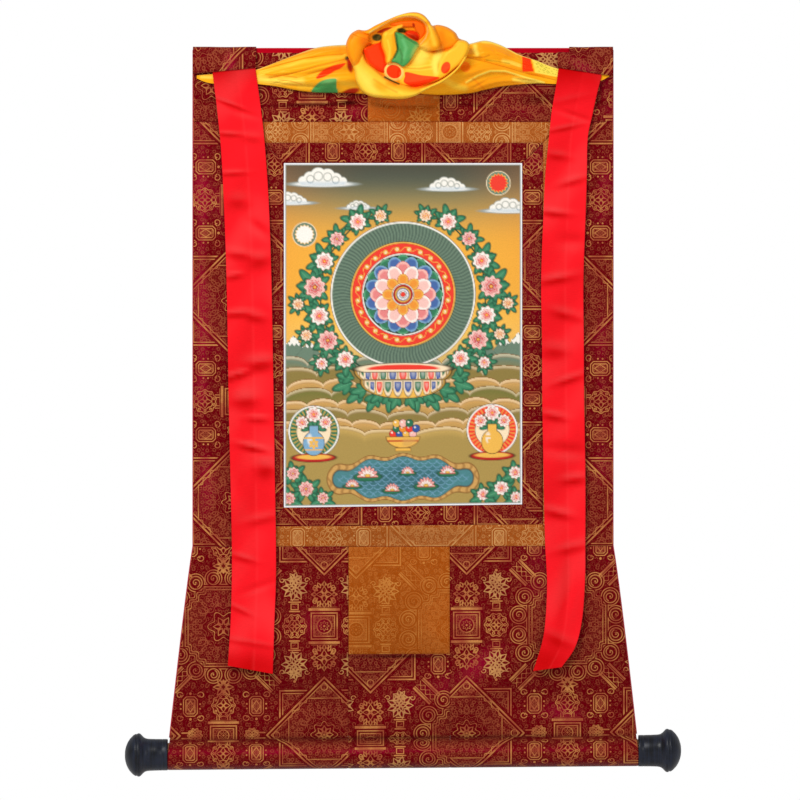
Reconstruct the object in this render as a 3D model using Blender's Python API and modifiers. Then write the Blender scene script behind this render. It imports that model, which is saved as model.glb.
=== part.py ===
"""Thangka scroll painting, hung by its top stave: a pieced brocade mount round a painted
canvas, a flat stave and a turned roller in its hems, two satin ribbons, and a silk veil
gathered up into a rosette.

The frame: +Z is up, -Y faces the viewer, and the origin is the middle of the stave's top face.
Cloth is laid out in two lengths as cut, "across" from the middle and "down" from the stave's
top, and hang() puts such a point where it hangs. Tables are in millimetres.
"""

import math

import bmesh
import bpy
from mathutils import Vector

MM = 0.001

# Thicknesses, and the gaps between pieces that are sewn or pressed together
PANEL_THICK = 1.2
CANVAS_THICK = 1.0
LINING_THICK = 1.0
RIBBON_THICK = 1.4
VEIL_THICK = 1.2
SEAM_GAP = 0.4
PIECE_GAP = 0.4

# How far each layer's middle lies towards the viewer from the mount's own plane
PANEL_OUT = 0.7
LINING_OUT = -0.9

# The mount as cut
HALF_WIDTH = 272.5
HEM_HALF_WIDTH = 306.0
FLARE_STARTS = 648.0
FLARE_POWER = 0.9
PANEL_TOP = 6.5
FRAME_TOP = 96.0
FRAME_BOTTOM = 648.0
FRAME_HALF_WIDTH = 208.0
GOLD_SIDE = 26.0
GOLD_TOP = 27.5
GOLD_BOTTOM = 27.5
MAROON_SIDE = 27.0
MAROON_TOP = 26.0
MAROON_BOTTOM = 25.0
# How much lower the borders' and the painting's bottom edges sit on the left than on the right
GOLD_LEAN = 2.4
PAINTING_LEAN = 4.0
TOP_DOOR = (-46.0, 48.0)
LOWER_DOOR = (-71.0, 61.0)
LOWER_DOOR_BOTTOM = 788.0

# The stave, flat and painted, behind the mount's top edge
STAVE_LENGTH = 541.0
STAVE_HEIGHT = 28.0
STAVE_THICK = 6.0
STAVE_ROUNDING = 1.2
STAVE_RELIEF_ENDS = 52.0

# The roller in the bottom hem, and its turned knobs
ROLLER_RADIUS = 17.0
ROLLER_HALF_LENGTH = 306.0
ROLLER_DOWN = 917.5
ROLLER_SIDES = 40
KNOB_NECK_RADIUS = 18.8
KNOB_SIDES = 40
# distance from the hem's end, radius
KNOB_PROFILE = (
    (0.4, 17.8),
    (1.4, 18.8),
    (26.0, 18.8),
    (29.5, 19.8),
    (34.5, 24.6),
    (37.5, 27.2),
    (39.0, 27.2),
    (39.8, 26.4),
    (41.0, 26.9),
    (44.5, 25.3),
    (48.5, 21.6),
    (52.0, 16.4),
    (54.6, 9.6),
    (55.6, 3.5),
)

# The roller hangs a little higher on its right than on its left
SKEW = 0.0085
SKEW_STARTS = 560.0
SKEW_FULL = 860.0

# Soft unevenness of the hung cloth
TROUGH_DOWN = 74.0
TROUGH_DEPTH = 3.0
TROUGH_REACH = 13.0
SWAY_DEPTH = 2.2
SWAY_LENGTH = 560.0
FLUTE_DEPTH = 2.4
FLUTE_LENGTH = 205.0
FLUTE_STARTS = 640.0
FLUTE_FULL = 780.0
HEM_CALM_FROM = 850.0
HEM_CALM_BY = 896.0

# Stations that all the flat pieces share, so that their facets nest
ACROSS = (-272.5, -240, -208, -182, -155, -103, -71, -46, 0, 48, 61, 103, 155, 182, 208, 240, 272.5)
DOWN = (6.5, 20, 30, 42, 54, 64, 74, 84, 96, 123.5, 149.5, 215, 290, 365, 440, 515, 595.5, 620.5, 648,
        690, 735, 788, 830, 868, 890)

# Each ribbon, edge points on its viewer's left and right, and how far it stands out
# left across, left down, right across, right down, out
LEFT_RIBBON = (
    (-250.5, 20.0, -194.0, 12.0, 7.8),
    (-249.0, 34.0, -195.5, 26.0, 7.8),
    (-246.0, 54.0, -191.0, 47.0, 8.2),
    (-242.0, 82.0, -185.5, 79.0, 4.4),
    (-236.5, 132.0, -179.0, 131.0, 5.4),
    (-233.0, 198.0, -174.5, 198.0, 3.8),
    (-230.0, 276.0, -171.5, 276.0, 5.8),
    (-228.0, 366.0, -169.5, 366.0, 4.0),
    (-226.5, 458.0, -168.0, 458.0, 6.4),
    (-224.5, 549.0, -166.5, 549.0, 4.4),
    (-222.5, 640.0, -165.0, 640.0, 6.2),
    (-222.5, 692.0, -165.0, 692.0, 5.0),
    (-224.0, 744.0, -167.0, 746.0, 6.6),
    (-226.0, 778.0, -168.0, 782.0, 8.0),
    (-227.5, 801.0, -169.0, 812.0, 9.4),
)
RIGHT_RIBBON = (
    (202.0, 12.0, 260.0, 22.0, 7.8),
    (202.0, 26.0, 258.0, 36.5, 7.8),
    (198.0, 54.0, 252.5, 58.0, 8.2),
    (193.0, 84.0, 246.0, 88.0, 4.4),
    (189.5, 118.0, 240.0, 118.0, 5.6),
    (185.0, 164.0, 239.0, 164.0, 4.0),
    (182.0, 226.0, 237.0, 226.0, 6.0),
    (179.5, 304.0, 234.5, 304.0, 4.2),
    (180.5, 380.0, 235.0, 380.0, 6.2),
    (181.0, 458.0, 235.5, 458.0, 4.4),
    (182.5, 549.0, 237.0, 549.0, 6.2),
    (184.5, 640.0, 237.0, 640.0, 5.0),
    (187.0, 692.0, 236.5, 692.0, 6.4),
    (185.5, 738.0, 232.5, 744.0, 8.6),
    (181.0, 772.0, 223.5, 780.0, 11.0),
    (169.0, 811.0, 206.0, 806.0, 13.0),
)

# The veil's swag, from its left tip to its right tip
# across, top down, bottom down, how far it puffs out
SWAG = (
    (-268.0, 36.0, 39.5, 0.3),
    (-258.0, 35.0, 44.0, 0.5),
    (-246.0, 34.0, 46.5, 0.5),
    (-219.0, 31.5, 47.5, 0.5),
    (-191.0, 28.5, 47.0, 0.7),
    (-180.0, 25.0, 48.0, 1.6),
    (-167.0, 20.0, 49.5, 5.0),
    (-135.0, 7.5, 55.5, 11.0),
    (-109.0, -0.5, 58.0, 15.0),
    (-76.0, -3.5, 58.5, 18.0),
    (-40.0, -3.0, 60.0, 15.0),
    (0.0, 0.0, 58.0, 12.0),
    (47.0, -4.0, 61.0, 15.0),
    (86.0, -5.0, 59.0, 19.0),
    (106.0, -9.0, 54.5, 17.0),
    (125.0, -4.0, 50.5, 13.0),
    (151.0, 9.0, 47.5, 9.0),
    (174.0, 17.0, 46.0, 4.6),
    (187.0, 22.5, 46.5, 1.6),
    (199.0, 26.5, 47.0, 0.7),
    (229.0, 32.0, 45.5, 0.5),
    (256.0, 35.5, 43.0, 0.5),
    (268.0, 32.5, 37.0, 0.3),
)
SWAG_OUT = 5.9
SWAG_PLEATS = 3
SWAG_PLEAT_DEPTH = 0.17
SWAG_COLUMNS = 40
SWAG_ROWS = 12

# The veil's rosette: one band of silk, wound clockwise from behind the top right, round the
# bottom and the left, over the top, and in to the heart. Turns are in degrees from +X.
# turn, rim radius, rim out, roll, root radius, root out, back radius, back out
ROSETTE = (
    (72.0, 42.0, 20.0, 6.0, 7.0, 14.0, 36.0, 11.0),
    (45.0, 64.0, 27.0, 9.0, 7.0, 13.0, 52.0, 10.0),
    (20.0, 74.0, 30.0, 9.0, 7.0, 13.0, 60.0, 10.0),
    (3.0, 84.0, 32.0, 7.0, 7.0, 13.0, 66.0, 10.0),
    (-15.0, 70.0, 35.0, 5.0, 7.0, 13.0, 58.0, 10.0),
    (-41.0, 56.0, 39.0, 4.5, 7.0, 14.0, 46.0, 10.0),
    (-72.0, 51.5, 42.0, 4.5, 7.0, 14.0, 42.0, 10.0),
    (-100.0, 53.5, 44.0, 4.5, 7.0, 14.0, 44.0, 10.0),
    (-123.0, 60.0, 43.0, 5.0, 7.0, 14.0, 50.0, 10.0),
    (-143.0, 67.0, 40.0, 6.5, 7.0, 15.0, 54.0, 10.0),
    (-165.0, 68.0, 37.0, 9.0, 7.0, 15.0, 54.0, 10.0),
    (-186.0, 72.0, 35.0, 11.0, 7.0, 16.0, 54.0, 10.0),
    (-204.0, 71.0, 34.0, 11.0, 7.0, 17.0, 52.0, 10.0),
    (-217.0, 60.0, 38.0, 9.0, 8.0, 18.0, 44.0, 11.0),
    (-234.0, 54.0, 44.0, 7.0, 9.0, 20.0, 40.0, 12.0),
    (-254.0, 53.0, 48.0, 6.5, 9.0, 22.0, 38.0, 16.0),
    (-274.0, 56.0, 50.0, 6.5, 9.0, 24.0, 38.0, 22.0),
    (-298.0, 55.0, 50.0, 7.5, 9.0, 26.0, 42.0, 28.0),
    (-322.0, 50.0, 49.0, 8.0, 8.0, 27.0, 38.0, 30.0),
    (-345.0, 42.0, 46.0, 7.0, 7.0, 28.0, 31.0, 30.0),
    (-372.0, 29.0, 43.0, 5.0, 6.0, 29.0, 23.0, 31.0),
    (-400.0, 19.0, 41.0, 3.5, 5.0, 30.0, 15.0, 32.0),
)
ROSETTE_ACROSS = 0.5
ROSETTE_DOWN = 11.7
ROSETTE_COLUMNS = 60
ROSETTE_STEPS = 10
ROSETTE_PARTS = 6.0
# How far along each part of the slice the silk bends: share of the reach, share of the rise
ROSETTE_HOLLOW = (0.45, 0.22)
ROSETTE_SHOULDER = 1.5

# The brocade caps that fold over the stave's ends
# name, front leaf from, wrap from, outer end, inner drop, outer drop
CAPS = (
    ("corner_cap_left", -194.5, -194.5, -273.0, 26.0, 34.0),
    ("corner_cap_right", 201.0, 216.0, 273.0, 26.0, 37.0),
)
CAP_BACK_DROP = 32.0
CAP_COLUMNS = 6
# out, down: the cap's path from the back leaf's foot, over the stave, to the front leaf
CAP_OVER = (
    (-5.6, CAP_BACK_DROP),
    (-5.6, 16.0),
    (-5.6, 3.0),
    (-4.7, 0.2),
    (-3.0, -0.9),
    (0.0, -1.1),
    (2.8, -0.9),
    (4.6, 0.2),
    (5.8, 3.0),
    (8.6, 8.5),
    (9.8, 15.0),
)
CAP_FRONT_OUT = 9.8

# The hem's path round the roller: clockwise from the top, towards the viewer
HEM_STARTS_DEG = 14.0
HEM_ENDS_DEG = 342.0
HEM_STEP_DEG = 16.4
HEM_LEAD = ((0.9, 23.2), (2.2, 20.4))
LINING_BOTTOM = 894.0

COLOURS = {
    "brocade_maroon": ((0.28, 0.02, 0.05), 0.5, 0.0),
    "brocade_gold": ((0.55, 0.25, 0.06), 0.5, 0.0),
    "painted_canvas": ((0.55, 0.42, 0.18), 0.8, 0.0),
    "lining_red": ((0.55, 0.02, 0.05), 0.6, 0.0),
    "ribbon_satin": ((0.80, 0.01, 0.02), 0.35, 0.0),
    "veil_silk": ((0.90, 0.45, 0.03), 0.35, 0.0),
    "stave_lacquer": ((0.60, 0.01, 0.03), 0.3, 0.0),
    "roller_wood": ((0.45, 0.30, 0.18), 0.6, 0.0),
    "knob_black": ((0.02, 0.02, 0.03), 0.4, 0.0),
}


def clear_scene():
    """Empties the scene that the script starts in."""
    for thing in list(bpy.data.objects):
        bpy.data.objects.remove(thing, do_unlink=True)


def material(name):
    """The named material, made on first use from its colour, roughness and metallic value."""
    found = bpy.data.materials.get(name)
    if found:
        return found
    colour, roughness, metallic = COLOURS[name]
    made = bpy.data.materials.new(name)
    made.use_nodes = True
    shader = made.node_tree.nodes["Principled BSDF"]
    shader.inputs["Base Color"].default_value = (*colour, 1.0)
    shader.inputs["Roughness"].default_value = roughness
    shader.inputs["Metallic"].default_value = metallic
    return made


def add_object(name, mesh, finish):
    """Puts a mesh in the thangka's collection as one piece."""
    piece = bpy.data.objects.new(name, mesh)
    piece.data.materials.append(material(finish))
    thangka.objects.link(piece)
    return piece


def smooth(share):
    """A smooth step from 0 to 1."""
    share = min(1.0, max(0.0, share))
    return share * share * (3.0 - 2.0 * share)


def mix(low, high, share):
    return low + (high - low) * share


def half_width(down):
    """Half of the mount's width at this distance down, as cut: straight, then flared."""
    share = min(1.0, max(0.0, (down - FLARE_STARTS) / (ROLLER_DOWN - FLARE_STARTS)))
    return mix(HALF_WIDTH, HEM_HALF_WIDTH - SEAM_GAP, share**FLARE_POWER)


def unevenness(across, down):
    """How far the hung mount stands out from a flat sheet, in millimetres."""
    calm = 1.0 - smooth((down - HEM_CALM_FROM) / (HEM_CALM_BY - HEM_CALM_FROM))
    trough = -TROUGH_DEPTH * math.exp(-(((down - TROUGH_DOWN) / TROUGH_REACH) ** 2))
    trough *= 0.7 + 0.3 * math.cos(across / 70.0)
    below_frame = smooth((down - FRAME_TOP) / 120.0)
    sway = SWAY_DEPTH * math.sin(2.0 * math.pi * (down - FRAME_TOP) / SWAY_LENGTH)
    sway *= below_frame * (0.6 + 0.4 * math.sin(across / 120.0 + 0.9))
    flutes = FLUTE_DEPTH * math.sin(2.0 * math.pi * across / FLUTE_LENGTH + 0.7)
    flutes *= smooth((down - FLUTE_STARTS) / (FLUTE_FULL - FLUTE_STARTS))
    return calm * (trough + sway + flutes)


def stave_relief(down):
    """How far the layers are parted by the stave between them."""
    return smooth((STAVE_RELIEF_ENDS - down) / (STAVE_RELIEF_ENDS - STAVE_HEIGHT))


def skewed(across, down):
    """Height of a point, with the slight lean that the roller gives the cloth above it."""
    return -down + SKEW * across * smooth((down - SKEW_STARTS) / (SKEW_FULL - SKEW_STARTS))


def hang(across, down, out):
    """Where a point of the cloth hangs, in metres."""
    out_now = out + unevenness(across, down)
    return Vector((across, -out_now, skewed(across, down))) * MM


def panel_out(down):
    """The front layer's middle, which the stave pushes forward."""
    return PANEL_OUT + (STAVE_THICK / 2.0 + PIECE_GAP) * stave_relief(down) - 0.1 * stave_relief(down)


def lining_out(down):
    """The lining's middle, which the stave pushes back."""
    pushed = -(STAVE_THICK + LINING_THICK) / 2.0 - PIECE_GAP
    return mix(LINING_OUT, pushed, stave_relief(down))


def between(stations, low, high):
    """The two ends and the shared stations that lie well inside them."""
    inside = [s for s in stations if low + 4.0 < s < high - 4.0]
    return [low, *inside, high]


def sheet(name, columns, rows, place, thick, finish, keep=None):
    """A sheet of cloth: a grid with its points placed by column and row, then given thickness."""
    grid = bmesh.new()
    last_column, last_row = len(columns) - 1, len(rows) - 1
    bmesh.ops.create_grid(grid, x_segments=last_column, y_segments=last_row, size=0.5)
    index = {}
    for vertex in grid.verts:
        i = round((vertex.co.x + 0.5) * last_column)
        j = round((0.5 - vertex.co.y) * last_row)
        index[vertex] = (i, j)
    if keep:
        outside = [
            face
            for face in grid.faces
            if not keep(min(index[v][0] for v in face.verts), min(index[v][1] for v in face.verts))
        ]
        bmesh.ops.delete(grid, geom=outside, context="FACES")
    for vertex in grid.verts:
        i, j = index[vertex]
        vertex.co = place(columns[i], rows[j])
    mesh = bpy.data.meshes.new(name)
    grid.to_mesh(mesh)
    grid.free()
    mesh.shade_smooth()
    piece = add_object(name, mesh, finish)
    body = piece.modifiers.new("thickness", "SOLIDIFY")
    body.thickness = thick * MM
    body.offset = 0.0
    body.use_even_offset = True
    return piece


def shade_by_face(piece):
    """Lets a piece's broad faces set its shading, so that its thin edges stay crisp."""
    piece.modifiers.new("shading", "WEIGHTED_NORMAL").weight = 100


def brocade_panel(name, left, right, top, bottom, finish, seams=(1, 1, 1, 1)):
    """A panel between seams. An edge marked 0 in seams (left, right, top, bottom) is a free edge."""
    inset = [SEAM_GAP / 2.0 * seam for seam in seams]
    columns = between(ACROSS, left + inset[0], right - inset[1])
    rows = between(DOWN, top + inset[2], bottom - inset[3])
    shade_by_face(sheet(name, columns, rows, lambda a, d: hang(a, d, panel_out(d)), PANEL_THICK, finish))


def hem_path():
    """(out, down) of the hem below the mount's last flat row: to the stitch line, then round the roller."""
    radius = ROLLER_RADIUS + PIECE_GAP + PANEL_THICK / 2.0
    path = [(out, ROLLER_DOWN - above) for out, above in HEM_LEAD]
    steps = round((HEM_ENDS_DEG - HEM_STARTS_DEG) / HEM_STEP_DEG)
    for step in range(steps + 1):
        turn = math.radians(mix(HEM_STARTS_DEG, HEM_ENDS_DEG, step / steps))
        path.append((radius * math.sin(turn), ROLLER_DOWN - radius * math.cos(turn)))
    return path


def lower_panel(name, left, right, top):
    """A lower panel with its hem: the sides are functions of the distance down."""
    flat = [(None, d) for d in between(DOWN, top + SEAM_GAP / 2.0, DOWN[-1] + 0.01)]
    path = hem_path()
    low, high = left(FLARE_STARTS), right(FLARE_STARTS)
    inner = [a for a in ACROSS if low + 4.0 < a < high - 4.0]
    shares = [0.0, *((a - low) / (high - low) for a in inner), 1.0]

    def place(share, row):
        out, down = row
        across = mix(left(down), right(down), share)
        if out is None:
            return hang(across, down, panel_out(down))
        return Vector((across, -out, skewed(across, down))) * MM

    shade_by_face(sheet(name, shares, [*flat, *path], place, PANEL_THICK, "brocade_maroon"))


def corners(left, right, top, bottom, lean=0.0):
    """A four-sided piece's corners, clockwise from the top left. Its bottom edge may lean."""
    return (
        Vector((left, top)),
        Vector((right, top)),
        Vector((right, bottom - lean / 2.0)),
        Vector((left, bottom + lean / 2.0)),
    )


def drawn_in(ends):
    """Corners of a four-sided piece, drawn in from its seams all round."""
    middle = sum(ends, Vector((0.0, 0.0))) / 4.0
    drawn = []
    for i, end in enumerate(ends):
        normals = []
        for start, stop in ((ends[i - 1], end), (end, ends[(i + 1) % 4])):
            along = (stop - start).normalized()
            normal = Vector((-along.y, along.x))
            if normal.dot(middle - start) < 0.0:
                normal.negate()
            normals.append(normal)
        shift = (normals[0] + normals[1]) / (1.0 + normals[0].dot(normals[1]))
        drawn.append(end + shift * SEAM_GAP / 2.0)
    return drawn


def shares_of(stations, start, stop):
    """Shares along the way from start to stop, at its ends and at the shared stations inside it."""
    low, high = sorted((start, stop))
    return sorted((s - start) / (stop - start) for s in between(stations, low, high))


def four_sided(name, ends, thick, finish, over):
    """A four-sided piece. Its first edge is cut at the shared stations, its depth at the shares in over."""
    first, second, third, fourth = drawn_in(ends)
    lengthwise = abs(second.x - first.x) > abs(second.y - first.y)
    axis = 0 if lengthwise else 1
    shares = shares_of(ACROSS if lengthwise else DOWN, first[axis], second[axis])

    def place(share, depth):
        point = first.lerp(second, share).lerp(fourth.lerp(third, share), depth)
        return hang(point.x, point.y, panel_out(point.y))

    shade_by_face(sheet(name, shares, over, place, thick, finish))


def mitred_border(prefix, outer, inner, finish):
    """Four strips round an opening, their corners cut at the mitre."""
    for side, name in enumerate(("top", "right", "bottom", "left")):
        after = (side + 1) % 4
        ends = (outer[side], outer[after], inner[after], inner[side])
        four_sided(f"{prefix}_{name}", ends, PANEL_THICK, finish, (0.0, 0.5, 1.0))


def smooth_row(table, along):
    """Values of a table at a place in its first column, on a smooth curve through its rows."""
    keys = [row[0] for row in table]
    rising = keys[-1] > keys[0]
    last = len(table) - 2
    spot = next((i for i in range(last) if (along < keys[i + 1]) == rising), last)
    before, start = table[max(spot - 1, 0)], table[spot]
    stop, after = table[spot + 1], table[min(spot + 2, len(table) - 1)]
    share = (along - start[0]) / (stop[0] - start[0])
    span = stop[0] - start[0]
    values = []
    for b, s, e, a in zip(before[1:], start[1:], stop[1:], after[1:]):
        leave = (e - b) / (stop[0] - before[0]) * span
        arrive = (a - s) / (after[0] - start[0]) * span
        h = share
        value = (2 * h**3 - 3 * h**2 + 1) * s + (h**3 - 2 * h**2 + h) * leave
        value += (-2 * h**3 + 3 * h**2) * e + (h**3 - h**2) * arrive
        values.append(value)
    return values


def make_mount():
    """The brocade mount: panels, doors and the two borders round the painting."""
    width, frame = HALF_WIDTH, FRAME_HALF_WIDTH
    door_left, door_right = TOP_DOOR
    top, bottom = PANEL_TOP, FRAME_TOP
    brocade_panel("top_panel_left", -width, door_left, top, bottom, "brocade_maroon", (0, 1, 0, 1))
    brocade_panel("top_door", door_left, door_right, top, bottom, "brocade_gold", (1, 1, 0, 1))
    brocade_panel("top_panel_right", door_right, width, top, bottom, "brocade_maroon", (1, 0, 0, 1))
    top, bottom = FRAME_TOP, FRAME_BOTTOM
    brocade_panel("side_panel_left", -width, -frame, top, bottom, "brocade_maroon", (0, 1, 1, 1))
    brocade_panel("side_panel_right", frame, width, top, bottom, "brocade_maroon", (1, 0, 1, 1))

    gold_out = (-frame, frame, FRAME_TOP, FRAME_BOTTOM)
    gold_in = (-frame + GOLD_SIDE, frame - GOLD_SIDE, FRAME_TOP + GOLD_TOP, FRAME_BOTTOM - GOLD_BOTTOM)
    left, right = gold_in[0] + MAROON_SIDE, gold_in[1] - MAROON_SIDE
    top, bottom = gold_in[2] + MAROON_TOP, gold_in[3] - MAROON_BOTTOM
    seams = corners(*gold_in, GOLD_LEAN)
    painting = corners(left, right, top, bottom, PAINTING_LEAN)
    mitred_border("gold_border", corners(*gold_out), seams, "brocade_gold")
    mitred_border("maroon_border", seams, painting, "brocade_maroon")
    four_sided("painting", painting, CANVAS_THICK, "painted_canvas", shares_of(DOWN, top, bottom))

    door_left, door_right = LOWER_DOOR
    seam = SEAM_GAP / 2.0
    brocade_panel("lower_door", door_left, door_right, FRAME_BOTTOM, LOWER_DOOR_BOTTOM, "brocade_gold")
    lower_panel("lower_panel_left", lambda d: -half_width(d), lambda _: door_left - seam, FRAME_BOTTOM)
    middle_sides = (lambda _: door_left + seam, lambda _: door_right - seam)
    lower_panel("lower_panel_middle", *middle_sides, LOWER_DOOR_BOTTOM)
    lower_panel("lower_panel_right", lambda _: door_right + seam, half_width, FRAME_BOTTOM)


def make_lining():
    """The red lining behind the whole mount, which shows as a thin line at its edges."""
    rows = between(DOWN, STAVE_ROUNDING * 2.0, LINING_BOTTOM)
    shares = [(a + HALF_WIDTH) / (2.0 * HALF_WIDTH) for a in ACROSS]

    def place(share, down):
        across = mix(-half_width(down), half_width(down), share)
        return hang(across, down, lining_out(down))

    shade_by_face(sheet("lining", shares, rows, place, LINING_THICK, "lining_red"))


def make_stave():
    """The flat stave that the mount hangs from, with its long edges eased."""
    block = bmesh.new()
    bmesh.ops.create_cube(block, size=1.0)
    for vertex in block.verts:
        vertex.co.x *= STAVE_LENGTH * MM
        vertex.co.y *= STAVE_THICK * MM
        vertex.co.z = (vertex.co.z - 0.5) * STAVE_HEIGHT * MM
    mesh = bpy.data.meshes.new("stave")
    block.to_mesh(mesh)
    block.free()
    stave = add_object("stave", mesh, "stave_lacquer")
    rounding = stave.modifiers.new("eased edges", "BEVEL")
    rounding.width = STAVE_ROUNDING * MM
    rounding.segments = 2


def turned(name, profile, sides, finish, flip):
    """A turned piece about the roller's axis: the profile's distances run outward along X."""
    mesh = bpy.data.meshes.new(name)
    outline = bmesh.new()
    points = [(profile[0][0], 0.0), *profile, (profile[-1][0], 0.0)]
    made = [outline.verts.new((radius * MM, 0.0, along * MM)) for along, radius in points]
    for first, second in zip(made, made[1:]):
        outline.edges.new((first, second))
    outline.to_mesh(mesh)
    outline.free()
    piece = add_object(name, mesh, finish)
    turn = piece.modifiers.new("turn", "SCREW")
    turn.steps = sides
    turn.render_steps = sides
    turn.merge_threshold = 0.00001
    turn.use_merge_vertices = True
    turn.use_normal_flip = True
    turn.use_smooth_shade = True
    lean = math.atan(SKEW)
    quarter = math.pi / 2.0
    piece.rotation_euler = (0.0, -quarter - lean if flip else quarter - lean, 0.0)
    piece.location = (0.0, 0.0, -ROLLER_DOWN * MM)
    return piece


def make_roller():
    """The wooden roller in the hem and the turned knobs on its ends."""
    reach = ROLLER_HALF_LENGTH
    chamfer = 1.5
    body = (
        (-reach, ROLLER_RADIUS - chamfer),
        (-reach + chamfer, ROLLER_RADIUS),
        (reach - chamfer, ROLLER_RADIUS),
        (reach, ROLLER_RADIUS - chamfer),
    )
    turned("roller", body, ROLLER_SIDES, "roller_wood", False)
    knob = [(reach + along, radius) for along, radius in KNOB_PROFILE]
    turned("knob_right", knob, KNOB_SIDES, "knob_black", False)
    turned("knob_left", knob, KNOB_SIDES, "knob_black", True)


def make_ribbons():
    """The two satin ribbons, from under the caps to their loose ends."""
    for name, table in (("ribbon_left", LEFT_RIBBON), ("ribbon_right", RIGHT_RIBBON)):
        rows = [(float(i), *row) for i, row in enumerate(table)]
        steps = [i / 2.0 for i in range(2 * len(rows) - 1)]

        def place(share, step, rows=rows):
            left, left_down, right, right_down, out = smooth_row(rows, step)
            across, down = mix(left, right, share), mix(left_down, right_down, share)
            rolled = 0.7 * math.sin(math.pi * share + step)
            settled = out + 0.5 * rolled * smooth(step / 4.0)
            return hang(across, down, settled + PANEL_THICK / 2.0 * smooth(step / 3.0))

        widthwise = (0.0, 0.25, 0.5, 0.75, 1.0)
        shade_by_face(sheet(name, widthwise, steps, place, RIBBON_THICK, "ribbon_satin"))


def make_caps():
    """The brocade caps over the stave's ends, down over the ribbons' tops."""
    for name, front_from, wrap_from, outer, inner_drop, outer_drop in CAPS:
        inner_share = (wrap_from - front_from) / (outer - front_from)
        columns = [mix(inner_share, 1.0, i / CAP_COLUMNS) for i in range(CAP_COLUMNS + 1)]
        if inner_share > 0.0:
            columns = [0.0, *columns]
        rows = [*CAP_OVER, (CAP_FRONT_OUT, None)]
        top_row = 6

        def place(share, row):
            out, down = row
            across = mix(front_from, outer, share)
            if down is None:
                down = mix(inner_drop, outer_drop, share)
            return Vector((across, -out, -down)) * MM

        def keep(i, j):
            return inner_share == 0.0 or i > 0 or j > top_row

        shade_by_face(sheet(name, columns, rows, place, PANEL_THICK, "brocade_maroon", keep))


def swag_point(across, share):
    """A point of the swag, from its top edge to its bottom edge."""
    top, bottom, puff = smooth_row(SWAG, across)
    arch = math.sin(math.pi * share) ** 0.7
    pleat = SWAG_PLEAT_DEPTH * math.cos(2.0 * math.pi * SWAG_PLEATS * share + across / 60.0)
    out = SWAG_OUT + puff * arch * (1.0 + pleat)
    return Vector((across, -out, -mix(top, bottom, share))) * MM


def rosette_slice(turn):
    """(radius, out) along the band at this turn: root, hollow, shoulder, rim and back."""
    rim, rim_out, roll, root, root_out, back, back_out = smooth_row(ROSETTE, turn)
    hollow = (
        mix(root, rim - roll, ROSETTE_HOLLOW[0]),
        mix(root_out, rim_out, ROSETTE_HOLLOW[1]),
    )
    shoulder = (rim - ROSETTE_SHOULDER * roll, rim_out - 0.16 * roll)
    crest = (rim - 0.55 * roll, rim_out)
    edge = (rim, rim_out - 0.9 * roll)
    under = (mix(back, rim, 0.75), mix(back_out, rim_out - roll, 0.45))
    return (root, root_out), hollow, shoulder, crest, edge, under, (back, back_out)


def rosette_point(turn, step):
    """A point of the rosette's band: the turn round the heart, and the step along its slice."""
    rows = [(float(i), *point) for i, point in enumerate(rosette_slice(turn))]
    radius, out = smooth_row(rows, step)
    angle = math.radians(turn)
    across = ROSETTE_ACROSS + radius * math.cos(angle)
    down = ROSETTE_DOWN - radius * math.sin(angle)
    return Vector((across, -(out + SWAG_OUT), -down)) * MM


def make_veil():
    """The silk veil, one cloth: the swag across the top and the rosette gathered from it."""
    low, high = SWAG[0][0], SWAG[-1][0]
    columns = [mix(low, high, i / SWAG_COLUMNS) for i in range(SWAG_COLUMNS + 1)]
    rows = [i / SWAG_ROWS for i in range(SWAG_ROWS + 1)]
    veil = sheet("veil", columns, rows, swag_point, VEIL_THICK, "veil_silk")

    first, last = ROSETTE[0][0], ROSETTE[-1][0]
    turns = [mix(first, last, i / ROSETTE_COLUMNS) for i in range(ROSETTE_COLUMNS + 1)]
    steps = [ROSETTE_PARTS * i / ROSETTE_STEPS for i in range(ROSETTE_STEPS + 1)]
    rosette = sheet("rosette_gather", turns, steps, rosette_point, VEIL_THICK, "veil_silk")
    thangka.objects.unlink(rosette)
    gathers.objects.link(rosette)
    rosette.hide_render = True
    rosette.display_type = "WIRE"

    gathered = veil.modifiers.new("gathered", "BOOLEAN")
    gathered.operation = "UNION"
    gathered.object = rosette
    gathered.solver = "EXACT"


clear_scene()
thangka = bpy.data.collections.new("thangka scroll painting")
gathers = bpy.data.collections.new("gathers")
bpy.context.scene.collection.children.link(thangka)
bpy.context.scene.collection.children.link(gathers)
make_lining()
make_mount()
make_stave()
make_roller()
make_ribbons()
make_caps()
make_veil()
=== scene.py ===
"""The looks of a thangka scroll painting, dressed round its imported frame.

Cloth is laid out in millimetres as cut, "across" from the middle and "down" from the stave's top,
and hang() puts such places where they hang, in metres. Tables are in millimetres, and colours
are written as they show on a screen, from 0 to 255.
"""

import math

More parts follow.
